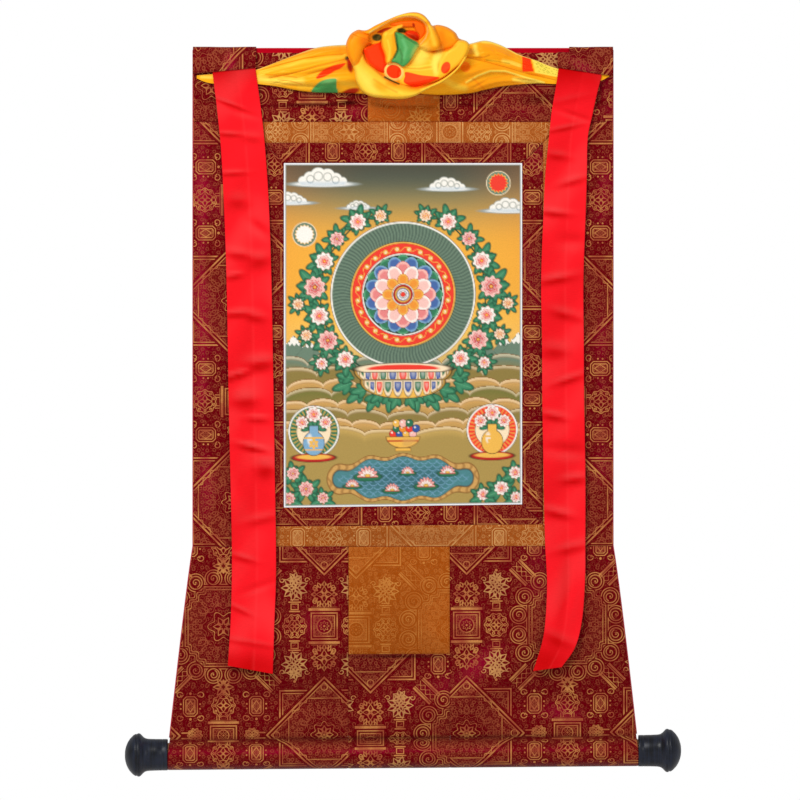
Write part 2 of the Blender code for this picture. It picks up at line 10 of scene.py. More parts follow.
import bmesh
import bpy
import numpy as np
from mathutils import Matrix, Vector


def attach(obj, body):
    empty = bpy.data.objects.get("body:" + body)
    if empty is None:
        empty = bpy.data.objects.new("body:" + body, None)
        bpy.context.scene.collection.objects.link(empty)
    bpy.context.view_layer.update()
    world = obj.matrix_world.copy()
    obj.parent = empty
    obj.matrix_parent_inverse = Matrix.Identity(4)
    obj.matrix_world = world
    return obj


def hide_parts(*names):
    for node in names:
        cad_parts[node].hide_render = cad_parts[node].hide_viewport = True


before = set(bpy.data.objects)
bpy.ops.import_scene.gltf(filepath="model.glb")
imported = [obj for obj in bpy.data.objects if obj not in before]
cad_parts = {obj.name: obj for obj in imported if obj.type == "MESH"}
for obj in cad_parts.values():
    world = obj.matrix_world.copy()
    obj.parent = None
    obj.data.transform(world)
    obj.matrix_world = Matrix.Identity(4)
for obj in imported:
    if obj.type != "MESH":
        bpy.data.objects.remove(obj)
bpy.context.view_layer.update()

MM = 0.001
BODY = "root"
FULL_TURN = 2 * math.pi
# Metres
CAMERA_AT = (-0.0039, -10, -0.4576)

# ---------------------------------------------------------------- sizes shared with the solids

PANEL_THICK = 1.2
CANVAS_THICK = 1
LINING_THICK = 1
SEAM_GAP = 0.4
PIECE_GAP = 0.4
# How far out of the stave's plane the layers hang
PANEL_OUT = 0.7
LINING_OUT = -0.9
HALF_WIDTH = 272.5
HEM_HALF_WIDTH = 306
FLARE_STARTS = 648
FLARE_POWER = 0.9
PANEL_TOP = 6.5
FRAME_TOP = 96
FRAME_BOTTOM = 648
FRAME_HALF_WIDTH = 208
# Widths of the borders: at the sides, the top and the bottom
GOLD_WIDTHS = (26, 27.5, 27.5)
MAROON_WIDTHS = (27, 26, 25)
# How much lower a bottom seam's left end is than its right end
GOLD_LEAN = 2.4
PAINTING_LEAN = 4
TOP_DOOR = (-46, 48)
LOWER_DOOR = (-71, 61)
LOWER_DOOR_BOTTOM = 788
STAVE_HEIGHT = 28
STAVE_THICK = 6
STAVE_RELIEF_ENDS = 52
ROLLER_RADIUS = 17
ROLLER_HALF_LENGTH = 306
ROLLER_DOWN = 917.5
SKEW = 0.0085
SKEW_STARTS = 560
SKEW_FULL = 860
# Trough under the stave: down, depth, reach
TROUGH = (74, 3, 13)
# Depth and wave length of the sway down the cloth, and of the flutes across its foot
SWAY = (2.2, 560)
FLUTE = (2.4, 205)
FLUTE_STARTS = 640
FLUTE_FULL = 780
HEM_CALM = (850, 896)
FLAT_ENDS = 890
LINING_TOP = 2.4
LINING_BOTTOM = 894

# left across, left down, right across, right down, out
LEFT_RIBBON = (
    (-248.6, 20, -191.4, 12, 7.8),
    (-247.2, 34, -191.6, 26, 7.8),
    (-244.8, 54, -188.8, 47, 8.2),
    (-241.4, 82, -184.6, 79, 4.4),
    (-236.5, 132, -179, 131, 5.4),
    (-233, 198, -174.5, 198, 3.8),
    (-230, 276, -171.5, 276, 5.8),
    (-228, 366, -169.5, 366, 4),
    (-226.5, 458, -168, 458, 6.4),
    (-224.5, 549, -166.5, 549, 4.4),
    (-222.5, 640, -165, 640, 6.2),
    (-222.5, 692, -165, 692, 5),
    (-224, 744, -167, 746, 6.6),
    (-226, 778, -168, 782, 8),
    (-227.5, 801, -169, 812, 9.4),
)
RIGHT_RIBBON = (
    (202, 12, 260, 22, 7.8),
    (202, 26, 258, 36.5, 7.8),
    (198, 54, 252.5, 58, 8.2),
    (193, 84, 246, 88, 4.4),
    (189.5, 118, 240, 118, 5.6),
    (185, 164, 239, 164, 4),
    (182, 226, 237, 226, 6),
    (179.5, 304, 234.5, 304, 4.2),
    (180.5, 380, 235, 380, 6.2),
    (181, 458, 235.5, 458, 4.4),
    (182.5, 549, 237, 549, 6.2),
    (184.5, 640, 237, 640, 5),
    (187, 692, 236.5, 692, 6.4),
    (185.5, 738, 232.5, 744, 8.6),
    (181, 772, 223.5, 780, 11),
    (169, 811, 206, 806, 13),
)

# across, top down, bottom down, how far it puffs out
SWAG = (
    (-268, 36, 39.5, 0.3),
    (-258, 35, 44, 0.5),
    (-246, 34, 46.5, 0.5),
    (-219, 31.5, 47.5, 0.5),
    (-191, 28.5, 47, 0.7),
    (-180, 25, 48, 1.6),
    (-167, 20, 49.5, 5),
    (-135, 7.5, 55.5, 11),
    (-109, -0.5, 58, 15),
    (-76, -3.5, 58.5, 18),
    (-40, -3, 60, 15),
    (0, 0, 58, 12),
    (47, -4, 61, 15),
    (86, -5, 59, 19),
    (106, -9, 54.5, 17),
    (125, -4, 50.5, 13),
    (151, 9, 47.5, 9),
    (174, 17, 46, 4.6),
    (187, 22.5, 46.5, 1.6),
    (199, 26.5, 47, 0.7),
    (229, 32, 45.5, 0.5),
    (256, 35.5, 43, 0.5),
    (268, 32.5, 37, 0.3),
)
SWAG_OUT = 5.9
SWAG_PLEATS = 3
SWAG_PLEAT_DEPTH = 0.17

# name, front leaf from, wrap from, outer end, inner drop, outer drop
CAPS = (
    ("corner_cap_left", -190.8, -190.8, -273, 26, 34),
    ("corner_cap_right", 201, 216, 273, 26, 37),
)
CAP_BACK_DROP = 32
# Way over the stave, from behind to the front: out, down
CAP_OVER = (
    (-5.6, CAP_BACK_DROP),
    (-5.6, 16),
    (-5.6, 3),
    (-4.7, 0.2),
    (-3, -0.9),
    (0, -1.1),
    (2.8, -0.9),
    (4.6, 0.2),
    (5.8, 3),
    (8.6, 8.5),
    (9.8, 15),
)

# distance from the hem's end, radius
KNOB_PROFILE = (
    (-0.2, 15),
    (-0.2, 19.6),
    (0.2, 20.2),
    (1.2, 20.4),
    (6.4, 20.4),
    (6.9, 20.1),
    (7.4, 20.4),
    (16, 20.5),
    (24, 20.8),
    (26.8, 21.1),
    (29.2, 21.9),
    (31.6, 23.6),
    (33.8, 26),
    (35.4, 27.5),
    (36.6, 28.1),
    (38.4, 28.2),
    (39.2, 27.8),
    (39.7, 26.9),
    (40.2, 27.1),
    (41, 27.4),
    (42.6, 26.9),
    (44.6, 25.6),
    (46.6, 23.6),
    (48.6, 21.5),
    (50.4, 19),
    (52, 16.2),
    (53.4, 13),
    (54.6, 9.2),
    (55.3, 5.6),
    (55.6, 0),
)


# ---------------------------------------------------------------- numbers

def smooth(share):
    """A smooth step from 0 to 1."""
    share = np.clip(share, 0, 1)
    return share * share * (3 - 2 * share)


def mix(low, high, share):
    return low + (high - low) * share


def smooth_rows(table, along):
    """Values of a table at places in its first column, on smooth curves through its rows."""
    table = np.array(table, float)
    keys, values = table[:, 0], table[:, 1:]
    way = 1 if keys[-1] > keys[0] else -1
    last = len(keys) - 1
    after, before = np.minimum(np.arange(last + 1) + 1, last), np.maximum(np.arange(last + 1) - 1, 0)
    slopes = (values[after] - values[before]) / (keys[after] - keys[before])[:, None]
    along = np.asarray(along, float)
    spot = np.clip(np.searchsorted(way * keys, way * along, side="right") - 1, 0, last - 1)
    span = (keys[spot + 1] - keys[spot])[..., None]
    h = (along[..., None] - keys[spot][..., None]) / span
    result = (2 * h**3 - 3 * h**2 + 1) * values[spot] + (h**3 - 2 * h**2 + h) * slopes[spot] * span
    return result + (-2 * h**3 + 3 * h**2) * values[spot + 1] + (h**3 - h**2) * slopes[spot + 1] * span


def dents(across, down, table):
    """Soft dents and ridges of a cloth: across, down, half length, half width, turn, rise."""
    raised = np.zeros(np.broadcast(across, down).shape)
    for at_across, at_down, length, width, turn, rise in table:
        cosine, sine = math.cos(math.radians(turn)), math.sin(math.radians(turn))
        along = (across - at_across) * cosine + (down - at_down) * sine
        aside = (down - at_down) * cosine - (across - at_across) * sine
        raised += rise * np.exp(-((along / length) ** 2) - (aside / width) ** 2)
    return raised


def screen(red, green, blue):
    """A colour as it shows on a screen, 0 to 255, as the shaders want it."""
    shares = np.array((red, green, blue), float) / 255
    return np.where(shares > 0.04045, ((shares + 0.055) / 1.055) ** 2.4, shares / 12.92)


# ---------------------------------------------------------------- where cloth hangs

def half_width(down):
    """Half of the mount's width at this distance down, as cut: straight, then flared."""
    share = np.clip((down - FLARE_STARTS) / (ROLLER_DOWN - FLARE_STARTS), 0, 1)
    return mix(HALF_WIDTH, HEM_HALF_WIDTH - SEAM_GAP, share**FLARE_POWER)


def unevenness(across, down):
    """How far the hung mount stands out from a flat sheet, in millimetres."""
    calm = 1 - smooth((down - HEM_CALM[0]) / (HEM_CALM[1] - HEM_CALM[0]))
    trough_down, trough_depth, trough_reach = TROUGH
    trough = -trough_depth * np.exp(-(((down - trough_down) / trough_reach) ** 2))
    trough = trough * (0.7 + 0.3 * np.cos(across / 70))
    sway = SWAY[0] * np.sin(FULL_TURN * (down - FRAME_TOP) / SWAY[1])
    sway = sway * smooth((down - FRAME_TOP) / 120) * (0.6 + 0.4 * np.sin(across / 120 + 0.9))
    flutes = FLUTE[0] * np.sin(FULL_TURN * across / FLUTE[1] + 0.7)
    flutes = flutes * smooth((down - FLUTE_STARTS) / (FLUTE_FULL - FLUTE_STARTS))
    return calm * (trough + sway + flutes)


def stave_relief(down):
    """How far the layers are parted by the stave between them."""
    return smooth((STAVE_RELIEF_ENDS - down) / (STAVE_RELIEF_ENDS - STAVE_HEIGHT))


def panel_out(down):
    """The front layer's middle, which the stave pushes forward."""
    return PANEL_OUT + (STAVE_THICK / 2 + PIECE_GAP - 0.1) * stave_relief(down)


def lining_out(down):
    """The lining's middle, which the stave pushes back."""
    pushed = -(STAVE_THICK + LINING_THICK) / 2 - PIECE_GAP
    return mix(LINING_OUT, pushed, stave_relief(down))


def skewed(across, down):
    """Height of a place, with the slight lean that the roller gives the cloth above it."""
    return -down + SKEW * across * smooth((down - SKEW_STARTS) / (SKEW_FULL - SKEW_STARTS))


def hang(across, down, out):
    """Where places of the cloth hang, in metres."""
    out = out + unevenness(across, down)
    return np.stack(np.broadcast_arrays(across, -out, skewed(across, down)), -1) * MM


# ---------------------------------------------------------------- pieces

def add_piece(name, mesh, finish):
    """Puts a mesh in the scene as one piece of the thangka."""
    piece = bpy.data.objects.new(name, mesh)
    mesh.materials.append(finish)
    bpy.context.scene.collection.objects.link(piece)
    return piece


def cloth(name, points, laid, finish, dye_and_painted_light=None, painted_light=None):
    """A sheet of cloth through rows and columns of points in metres.

    laid holds where each point lies on the flat cloth, in millimetres. The colour given for each
    point is its dye with any painted shade and painted highlights, and the last argument gives the
    brocade's painted sheen where it is above 0 and its painted shade where it is below 0.
    """
    rows, columns = points.shape[:2]
    index = np.arange(rows * columns).reshape(rows, columns)
    quads = np.stack([index[:-1, :-1], index[1:, :-1], index[1:, 1:], index[:-1, 1:]], -1).reshape(-1, 4)
    mesh = bpy.data.meshes.new(name)
    mesh.from_pydata(points.reshape(-1, 3).tolist(), [], quads.tolist())
    mesh.shade_smooth()
    corners = np.asarray(laid, float).reshape(-1, 2)[quads.ravel()]
    mesh.uv_layers.new(name="cloth").data.foreach_set("uv", corners.ravel())
    if dye_and_painted_light is not None:
        full = np.concatenate([dye_and_painted_light.reshape(-1, 3), np.ones((rows * columns, 1))], 1)
        mesh.color_attributes.new("dye_and_painted_light", "FLOAT_COLOR", "POINT").data.foreach_set("color", full.ravel())
    if painted_light is not None:
        mesh.attributes.new("painted_light", "FLOAT", "POINT").data.foreach_set("value", painted_light.ravel())
    return add_piece(name, mesh, finish)


def thicken(piece, thick):
    """Gives a sheet its thickness, half to each side."""
    body = piece.modifiers.new("thickness", "SOLIDIFY")
    body.thickness = thick * MM
    body.offset = 0


def settle(piece, node, flat):
    """Attaches a sheet to the body and hides the node that it stands for. Its cut size, flat, is not used.
    """
    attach(piece, BODY)
    if node:
        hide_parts(node)


# ---------------------------------------------------------------- shader fields

class Field:
    """A number that varies over a surface, worked out by Math nodes."""

    def __init__(self, tree, socket):
        self.tree = tree
        self.socket = socket

    def worked(self, operation, *values):
        node = self.tree.nodes.new("ShaderNodeMath")
        node.operation = operation
        for socket, value in zip(node.inputs, values):
            if isinstance(value, Field):
                self.tree.links.new(value.socket, socket)
            else:
                socket.default_value = value
        return Field(self.tree, node.outputs[0])

    def __add__(self, other):
        return self.worked("ADD", self, other)

    def __sub__(self, other):
        return self.worked("SUBTRACT", self, other)

    def __rsub__(self, other):
        return self.worked("SUBTRACT", other, self)

    def __mul__(self, other):
        return self.worked("MULTIPLY", self, other)

    def __abs__(self):
        return self.worked("ABSOLUTE", self)

    __radd__ = __add__
    __rmul__ = __mul__

    def folded(self, length):
        """Runs from 0 to length and back again."""
        return self.worked("PINGPONG", self, length)

    def sine(self):
        return self.worked("SINE", self)

    def cosine(self):
        return self.worked("COSINE", self)

    def step(self, low, high):
        """A smooth step from 0 at low to 1 at high."""
        node = self.tree.nodes.new("ShaderNodeMapRange")
        node.interpolation_type = "SMOOTHSTEP"
        self.tree.links.new(self.socket, node.inputs["Value"])
        node.inputs["From Min"].default_value = low
        node.inputs["From Max"].default_value = high
        return Field(self.tree, node.outputs[0])

    def ramp(self, low, high, to_low, to_high):
        """Runs straight from to_low at low to to_high at high."""
        node = self.tree.nodes.new("ShaderNodeMapRange")
        self.tree.links.new(self.socket, node.inputs["Value"])
        for name, value in zip(("From Min", "From Max", "To Min", "To Max"), (low, high, to_low, to_high)):
            node.inputs[name].default_value = value
        return Field(self.tree, node.outputs[0])


def least(first, *others):
    for other in others:
        first = first.worked("MINIMUM", first, other)
    return first


def most(first, *others):
    for other in others:
        first = first.worked("MAXIMUM", first, other)
    return first


class Spot:
    """A place on the cloth, in millimetres from a motif's middle."""

    def __init__(self, x, y):
        self.x = x
        self.y = y
        joined = x.tree.nodes.new("ShaderNodeCombineXYZ")
        x.tree.links.new(x.socket, joined.inputs[0])
        x.tree.links.new(y.socket, joined.inputs[1])
        self.vector = joined.outputs[0]

    def away(self, x, y):
        """Distance from a point."""
        node = self.x.tree.nodes.new("ShaderNodeVectorMath")
        node.operation = "DISTANCE"
        self.x.tree.links.new(self.vector, node.inputs[0])
        node.inputs[1].default_value = (x, y, 0)
        return Field(self.x.tree, node.outputs["Value"])

    def turn(self, x=0, y=0):
        """Direction from a point, in radians."""
        return self.x.worked("ARCTAN2", self.y - y, self.x - x)

    def ring(self, x, y, radius):
        return abs(self.away(x, y) - radius)

    def flower(self, x, y, radius, lobes, depth):
        """A lobed ring about a point."""
        return abs(self.away(x, y) - radius - (self.turn(x, y) * lobes).cosine() * depth)

    def box(self, x, y, half_x, half_y):
        """How far outside a box, below 0 inside it."""
        return most(abs(self.x - x) - half_x, abs(self.y - y) - half_y)


# ---------------------------------------------------------------- the brocade's figuring

# The pattern's repeat
CELL_ACROSS = 262
CELL_DOWN = 282
# Half width of a woven line, and how softly it ends
LINE = 0.62
LINE_SOFT = 0.36
STEM_SLOPE = 4.2
EYELET_RADIUS = 1.9
EYELET_DOT = 0.35
# Sprigs of the open ground: how many to a millimetre, how far they keep from other lines, and
# how much thinner their lines are
SPRIGS = 0.125
SPRIG_CLEAR = 2.4
SPRIG_THINNER = 0.14
HALF_ROOT = math.sqrt(0.5)
# Scrolls of the wreath: across and down from its middle, and their outer radius
SCROLLS = ((63, 13, 11.5), (55.5, 36.5, 11.5), (36, 56.5, 11.5), (13, 62, 11))


def filled(outside):
    """A filled shape, from how far outside it a place lies."""
    return outside + LINE


def band(distance, half):
    """A band of this half width along a line."""
    return abs(distance) - (half - LINE)


def stems(spot, scale):
    """Distance from the nearest of curling stems, with scale of them to a millimetre."""
    node = spot.x.tree.nodes.new("ShaderNodeTexNoise")
    node.noise_dimensions = "2D"
    node.inputs["Scale"].default_value = scale
    node.inputs["Detail"].default_value = 0
    node.inputs["Distortion"].default_value = 0.9
    spot.x.tree.links.new(spot.vector, node.inputs["Vector"])
    grown = abs(Field(spot.x.tree, node.outputs["Fac"]) - 0.5)
    return least(grown, abs(grown - 0.16)) * (STEM_SLOPE / scale)


def eyelets(spot, scale):
    """Distance from the nearest of small rings with dots in them."""
    node = spot.x.tree.nodes.new("ShaderNodeTexVoronoi")
    node.voronoi_dimensions = "2D"
    node.inputs["Scale"].default_value = scale
    node.inputs["Randomness"].default_value = 0.85
    spot.x.tree.links.new(spot.vector, node.inputs["Vector"])
    apart = Field(spot.x.tree, node.outputs["Distance"]) * (1 / scale)
    return least(abs(apart - EYELET_RADIUS), filled(apart - EYELET_DOT))


def leafage(spot, scale, limit):
    """Curling stems and eyelets, kept to where limit is below 0."""
    return most(least(stems(spot, scale), eyelets(spot, scale * 0.95)), limit)


def leaf_ring(spot, x, y, count, low, high, half):
    """A ring of pointed leaves in outline round a point, from low to high away from it."""
    away = spot.away(x, y)
    aside = abs((spot.turn(x, y) * (count / 2)).sine()) * away * (2 / count)
    leaf = abs(aside - away.ramp(low, high, 0, math.pi).sine() * half)
    return most(leaf, abs(away - (low + high) / 2) - (high - low) / 2)


def curl(spot, x, y, size, turned=0):
    """A line that winds once outwards about a point."""
    wound = spot.turn(x, y) * (0.5 / math.pi) + turned
    turn = wound.worked("FRACT", wound)
    return abs(spot.away(x, y) - size * 0.34 - turn * (size * 0.7))


def hub(spot):
    """How far outside a scalloped eight-sided field a place lies."""
    slant = (spot.x + spot.y - 69) * HALF_ROOT + ((spot.x - spot.y) * 0.33).cosine() * 2.2
    return most(spot.x - 46, spot.y - 47.5, slant)


def star(spot):
    """Two squares laid across each other, with a scalloped field in them."""
    diamond = (spot.x + spot.y - 76) * HALF_ROOT
    square = most(spot.x, spot.y) - 58.5
    inner = hub(spot)
    corner = 3.6 - diamond
    bold = [
        band(diamond + 1.1, 1.05),
        abs(diamond + 5.2),
        most(band(square + 0.9, 0.95), corner),
        most(abs(square + 4.6), corner),
        abs(inner),
        spot.flower(0, 0, 15, 8, 2.4),
        leaf_ring(spot, 0, 0, 8, 3, 11.5, 1.9),
        filled(spot.away(0, 0) - 1.6),
        spot.ring(62, 0, 4.2),
        spot.ring(0, 62, 4.2),
    ]
    fine = [
        most(spot.flower(0, 0, 23, 12, 2), inner),
        most(leaf_ring(spot, 0, 0, 12, 25, 38, 3), inner),
        leafage(spot, 0.165, most(inner + 2, 26 - spot.away(0, 0))),
        leafage(spot, 0.18, most(diamond + 6.6, 1.6 - inner)),
        leafage(spot, 0.19, most(square + 6.2, 4 - diamond)),
    ]
    return bold, fine


def medallion(spot):
    """A scalloped field inside a wreath of scrolls, with a fan of petals above it."""
    inner = hub(spot)
    shell = least(inner - 7, *(spot.away(x, y) - radius for x, y, radius in SCROLLS))
    bold = [
        abs(inner),
        abs(shell),
        abs(shell + 3.2),
        spot.flower(0, 0, 17, 6, 3.4),
        leaf_ring(spot, 0, 0, 6, 3, 13, 2.4),
        leaf_ring(spot, 0, 78, 7, 3, 13, 1.8),
    ]
    fine = [
        most(spot.flower(0, 0, 26, 10, 2.4), inner),
        most(leaf_ring(spot, 0, 0, 10, 28, 41, 3.4), inner),
        leafage(spot, 0.16, most(inner + 2, 27 - spot.away(0, 0))),
    ]
    filling = most(shell + 4.8, 1.8 - inner)
    for x, y, radius in SCROLLS:
        bold.append(most(curl(spot, x, y, radius * 0.5, 0.3), spot.away(x, y) - radius * 0.62))
        bold.append(filled(spot.away(x, y) - 1.1))
        filling = most(filling, radius * 0.62 - spot.away(x, y))
    fine.append(leafage(spot, 0.2, filling))
    return bold, fine


def altar(spot, half, bar):
    """A square with a wheel in it between two thick bars on short posts."""
    square = most(spot.x - 16.8, spot.y - half)
    wheel = spot.away(0, 0)
    bold = [
        band(square, 0.85),
        abs(square + 3.4),
        abs(wheel - half * 0.56),
        spot.flower(0, 0, half * 0.3, 8, 1.2),
        filled(wheel - 1.4),
        filled(spot.box(0, bar + 0.4, 20.4, 1.7)),
        filled(spot.box(0, bar + 3.6, 17, 0.25)),
        most(abs(abs(spot.x - 7) - 1.6), abs(spot.y - bar - 6.5) - 2.6),
    ]
    return bold, [leafage(spot, 0.24, most(square + 4.6, half * 0.6 - wheel))]


def petal_cross(spot, y):
    """Four petals in a cross, among curled leaves."""
    turn = spot.turn(0, y)
    bold = [
        leaf_ring(spot, 0, y, 4, 1.2, 10, 2.6),
        most(leaf_ring(spot, 0, y, 12, 10, 17, 1.6), (turn * 4).cosine() - 0.4),
        curl(spot, 12, y - 9.4, 3.6, 0.6),
        curl(spot, 12, y + 9.4, 3.6, 0.1),
        filled(spot.away(15.6, y) - 1.6),
    ]
    return bold, []


def vase(spot, x, y):
    """A footed vase, widening into a bunch of leaves and buds that stands above it."""
    bold = [
        filled(spot.box(x, y - 6.4, 7.2, 0.9)),
        abs(spot.box(x, y - 0.4, 4.6, 3.6)),
        filled(spot.box(x, y + 5.6, 8.2, 0.8)),
        filled(spot.box(x, y + 8.6, 5.4, 0.7)),
        leaf_ring(spot, x, y + 24, 9, 6.4, 17, 2.2),
        leaf_ring(spot, x, y + 24, 5, 1, 7.6, 1.7),
        leaf_ring(spot, x, y + 35, 7, 2, 9.5, 1.5),
        curl(spot, x - 16, y + 34, 3.4, 0.5),
        curl(spot, x + 16, y + 34, 3.4, 0.9),
        filled(spot.away(x, y + 46) - 1.8),
    ]
    return bold, []


def ring_flower(spot, x, y, radius, core):
    """A flower in a ring of leaves."""
    bold = [
        spot.flower(x, y, radius - 0.8, 10, 0.9),
        spot.flower(x, y, core, 6, 0.8),
        leaf_ring(spot, x, y, 4, 0.6, core * 0.86, core * 0.24),
        leaf_ring(spot, x, y, 10, core + 1.2, radius - 1.6, 1.2),
    ]
    return bold, []


def knot(spot, x, y):
    """A barred block with four curled corners."""
    near = Spot(abs(spot.x - x), abs(spot.y - y))
    block = most(near.x - 9, near.y - 12.6, (near.x + near.y - 18) * HALF_ROOT)
    bold = [
        abs(block),
        abs(block + 3),
        most(abs(near.x + near.y * 0.7 - 5), block),
        curl(near, 14, 14.6, 4.4, 0.55),
        most(abs(near.x + near.y - 24) * HALF_ROOT, abs(near.x - near.y + 3) - 2.4),
        filled(near.away(12.6, 3) - 1.2),
        filled(near.away(0, 16.6) - 1.7),
    ]
    return bold, [leafage(near, 0.26, block + 3.6)]


def bars(spot):
    """Two slanting bars with waved lines between them."""
    along, aside = (spot.x + spot.y) * HALF_ROOT - 103, abs(spot.x - spot.y) * HALF_ROOT
    within_ends = abs(along) - 14.5
    bold = [
        most(band(aside - 9, 1.25), within_ends),
        most(abs(aside - 6.2), within_ends),
        most(abs(aside - 1.9 - (along * 0.72).sine() * 1.7), within_ends),
    ]
    return bold, []


def joined(motif):
    """A motif's bold lines as one field, and its fine lines as another."""
    bold, fine = motif
    return least(*bold), least(*fine) if fine else None


def brocade_figuring(across, down):
    """How near the brocade's bold and fine lines are, and the distance from its bunches."""
    x, y = across.folded(CELL_ACROSS / 2), down.folded(CELL_DOWN / 2)
    far_x, far_y = CELL_ACROSS / 2 - x, CELL_DOWN / 2 - y
    near, far = Spot(x, y), Spot(far_x, far_y)
    above, beside = Spot(x, far_y), Spot(far_x, y)
    motifs = (
        joined(star(near)),
        joined(medallion(far)),
        joined(bars(near)),
        joined(altar(above, 16.8, 21)),
        joined(petal_cross(above, 41)),
        joined(vase(above, 38.5, 25.5)),
        joined(ring_flower(above, 38.5, 0, 15.4, 8)),
        joined(altar(beside, 12.4, 16.4)),
        joined(ring_flower(beside, 37, 0, 9.8, 5)),
        joined(ring_flower(beside, 0, 39, 15.4, 9.6)),
        joined(knot(beside, 43, 38)),
    )
    dashes = most(band(y - 3.6, 0.9), abs(x - 83) - 6)
    bold = least(dashes, *(lines for lines, _ in motifs))
    fine = least(*(lines for _, lines in motifs if lines is not None))
    sprigs = leafage(far, SPRIGS, SPRIG_CLEAR - least(bold, fine)) + SPRIG_THINNER
    return bold, least(fine, sprigs), above.away(38.5, 51.5)


# ---------------------------------------------------------------- finishes

class Finish:
    """A material under construction: its node tree, its shader, and where the cloth lies."""

    def __init__(self, name, roughness, tint=None, **sockets):
        self.material = bpy.data.materials.new(name)
        self.material.use_nodes = True
        self.tree = self.material.node_tree
        self.shader = self.tree.nodes["Principled BSDF"]
        self.shader.inputs["Roughness"].default_value = roughness
        if tint is not None:
            self.shader.inputs["Specular IOR Level"].default_value = 0.35
            self.shader.inputs["Specular Tint"].default_value = (*tint, 1)
            self.shader.inputs["Sheen Weight"].default_value = 0.06
            self.shader.inputs["Sheen Tint"].default_value = (*tint, 1)
        for socket, value in sockets.items():
            self.shader.inputs[socket.replace("_", " ")].default_value = value
        self.place = None

    def node(self, kind, **settings):
        made = self.tree.nodes.new(kind)
        for name, value in settings.items():
            setattr(made, name, value)
        return made

    def cloth_fields(self):
        """Across and down on the flat cloth, in millimetres."""
        self.place = self.node("ShaderNodeUVMap", uv_map="cloth").outputs[0]
        parts = self.node("ShaderNodeSeparateXYZ")
        self.tree.links.new(self.place, parts.inputs[0])
        return Field(self.tree, parts.outputs[0]), Field(self.tree, parts.outputs[1])

    def object_place(self):
        self.place = self.node("ShaderNodeTexCoord").outputs["Object"]

    def noise(self, scale, detail=2, stretch=(1, 1, 1)):
        """Soft noise about 0.5, with scale features to each unit of the place."""
        mapping = self.node("ShaderNodeMapping")
        mapping.inputs["Scale"].default_value = [scale * s for s in stretch]
        self.tree.links.new(self.place, mapping.inputs["Vector"])
        texture = self.node("ShaderNodeTexNoise")
        texture.inputs["Scale"].default_value = 1
        texture.inputs["Detail"].default_value = detail
        self.tree.links.new(mapping.outputs[0], texture.inputs["Vector"])
        return Field(self.tree, texture.outputs["Fac"])

    def blend(self, share, low, high):
        """A colour between two, each a colour or another blend's result."""
        node = self.node("ShaderNodeMix", data_type="RGBA")
        self.tree.links.new(share.socket, node.inputs[0])
        for socket, colour in ((node.inputs[6], low), (node.inputs[7], high)):
            if isinstance(colour, bpy.types.NodeSocket):
                self.tree.links.new(colour, socket)
            else:
                socket.default_value = (*colour, 1)
        return node.outputs[2]

    def tinted(self, colour, share):
        """A colour, or a blend's result, darkened or lightened by a field about 1."""
        node = self.node("ShaderNodeVectorMath", operation="SCALE")
        if isinstance(colour, bpy.types.NodeSocket):
            self.tree.links.new(colour, node.inputs[0])
        else:
            node.inputs[0].default_value = tuple(colour)
        self.tree.links.new(share.socket, node.inputs["Scale"])
        return node.outputs[0]

    def colour(self, socket):
        self.tree.links.new(socket, self.shader.inputs["Base Color"])

    def roughen(self, field):
        self.tree.links.new(field.socket, self.shader.inputs["Roughness"])

    def raise_up(self, height, strength=1):
        """Bumps the surface by a height in millimetres."""
        node = self.node("ShaderNodeBump")
        node.inputs["Strength"].default_value = strength
        node.inputs["Distance"].default_value = MM
        self.tree.links.new(height.socket, node.inputs["Height"])
        self.tree.links.new(node.outputs[0], self.shader.inputs["Normal"])

    def attribute(self, name, output):
        return self.node("ShaderNodeAttribute", attribute_name=name).outputs[output]


def weave(across, down, pitch):
    """The over and under of a plain weave, from -1 to 1."""
    turn = math.pi / pitch
    return (across * turn).sine() * (down * turn).sine()


def brocade(name, grounds, threads, tint, spread=0, fine_light=1):
    """Figured silk.

    grounds are its dull colour and the shining colour of its painted sheen, threads go from bright
    to dull to pale, and spread widens the fine threads, which are fine_light as bright as the dull
    ones. A piece's painted light is above 0 where the painted sheen shows, and below 0 where painted
    shade darkens it: in creases, under the swag and caps, and towards the foot.
    """
    finish = Finish(name, 0.5, tint)
    across, down = finish.cloth_fields()
    bold, fine, from_bunch = brocade_figuring(across, down)
    bold = bold.step(LINE + LINE_SOFT, LINE - LINE_SOFT)
    fine = fine.step(LINE + spread + LINE_SOFT, LINE + spread - LINE_SOFT)
    cloudy = finish.noise(0.011, 1)
    worn = finish.noise(0.045, 2)
    grain = finish.noise(0.75, 2)
    ribs = weave(across, down, 0.62)
    painted_light = Field(finish.tree, finish.attribute("painted_light", "Fac"))
    # Painted sheen: the ground turns to its shining colour where the painted light is above 0, in soft
    # random patches.
    ground = finish.blend((painted_light + (cloudy - 0.5) * 1.5).step(0, 1), *grounds)
    ground = finish.tinted(ground, ribs * 0.12 + grain.ramp(0.25, 0.75, 0.8, 1.2))
    bright, dull, pale = threads
    lit = finish.blend(worn.step(0.36, 0.64), bright, dull)
    lit = finish.blend(from_bunch.step(21, 15) * 0.7, lit, pale)
    worn_out = worn.ramp(0.3, 0.7, 1, 0.72)
    shown = grain.ramp(0.25, 0.75, 0.7, 1.2)
    faint = finish.tinted(dull, shown * fine_light)
    inner = finish.blend(fine * worn_out * 0.85, ground, faint)
    figured_cloth = finish.blend(bold * worn_out, inner, finish.tinted(lit, shown))
    # Painted shade: the cloth darkens where the painted light is below 0.
    finish.colour(finish.tinted(figured_cloth, painted_light.ramp(-1, -0.1, 0.22, 1)))
    thread = most(bold, fine * 0.8)
    finish.roughen(thread.ramp(0, 1, 0.42, 0.5))
    finish.raise_up(thread * 0.1 + ribs * 0.035)
    return finish.material


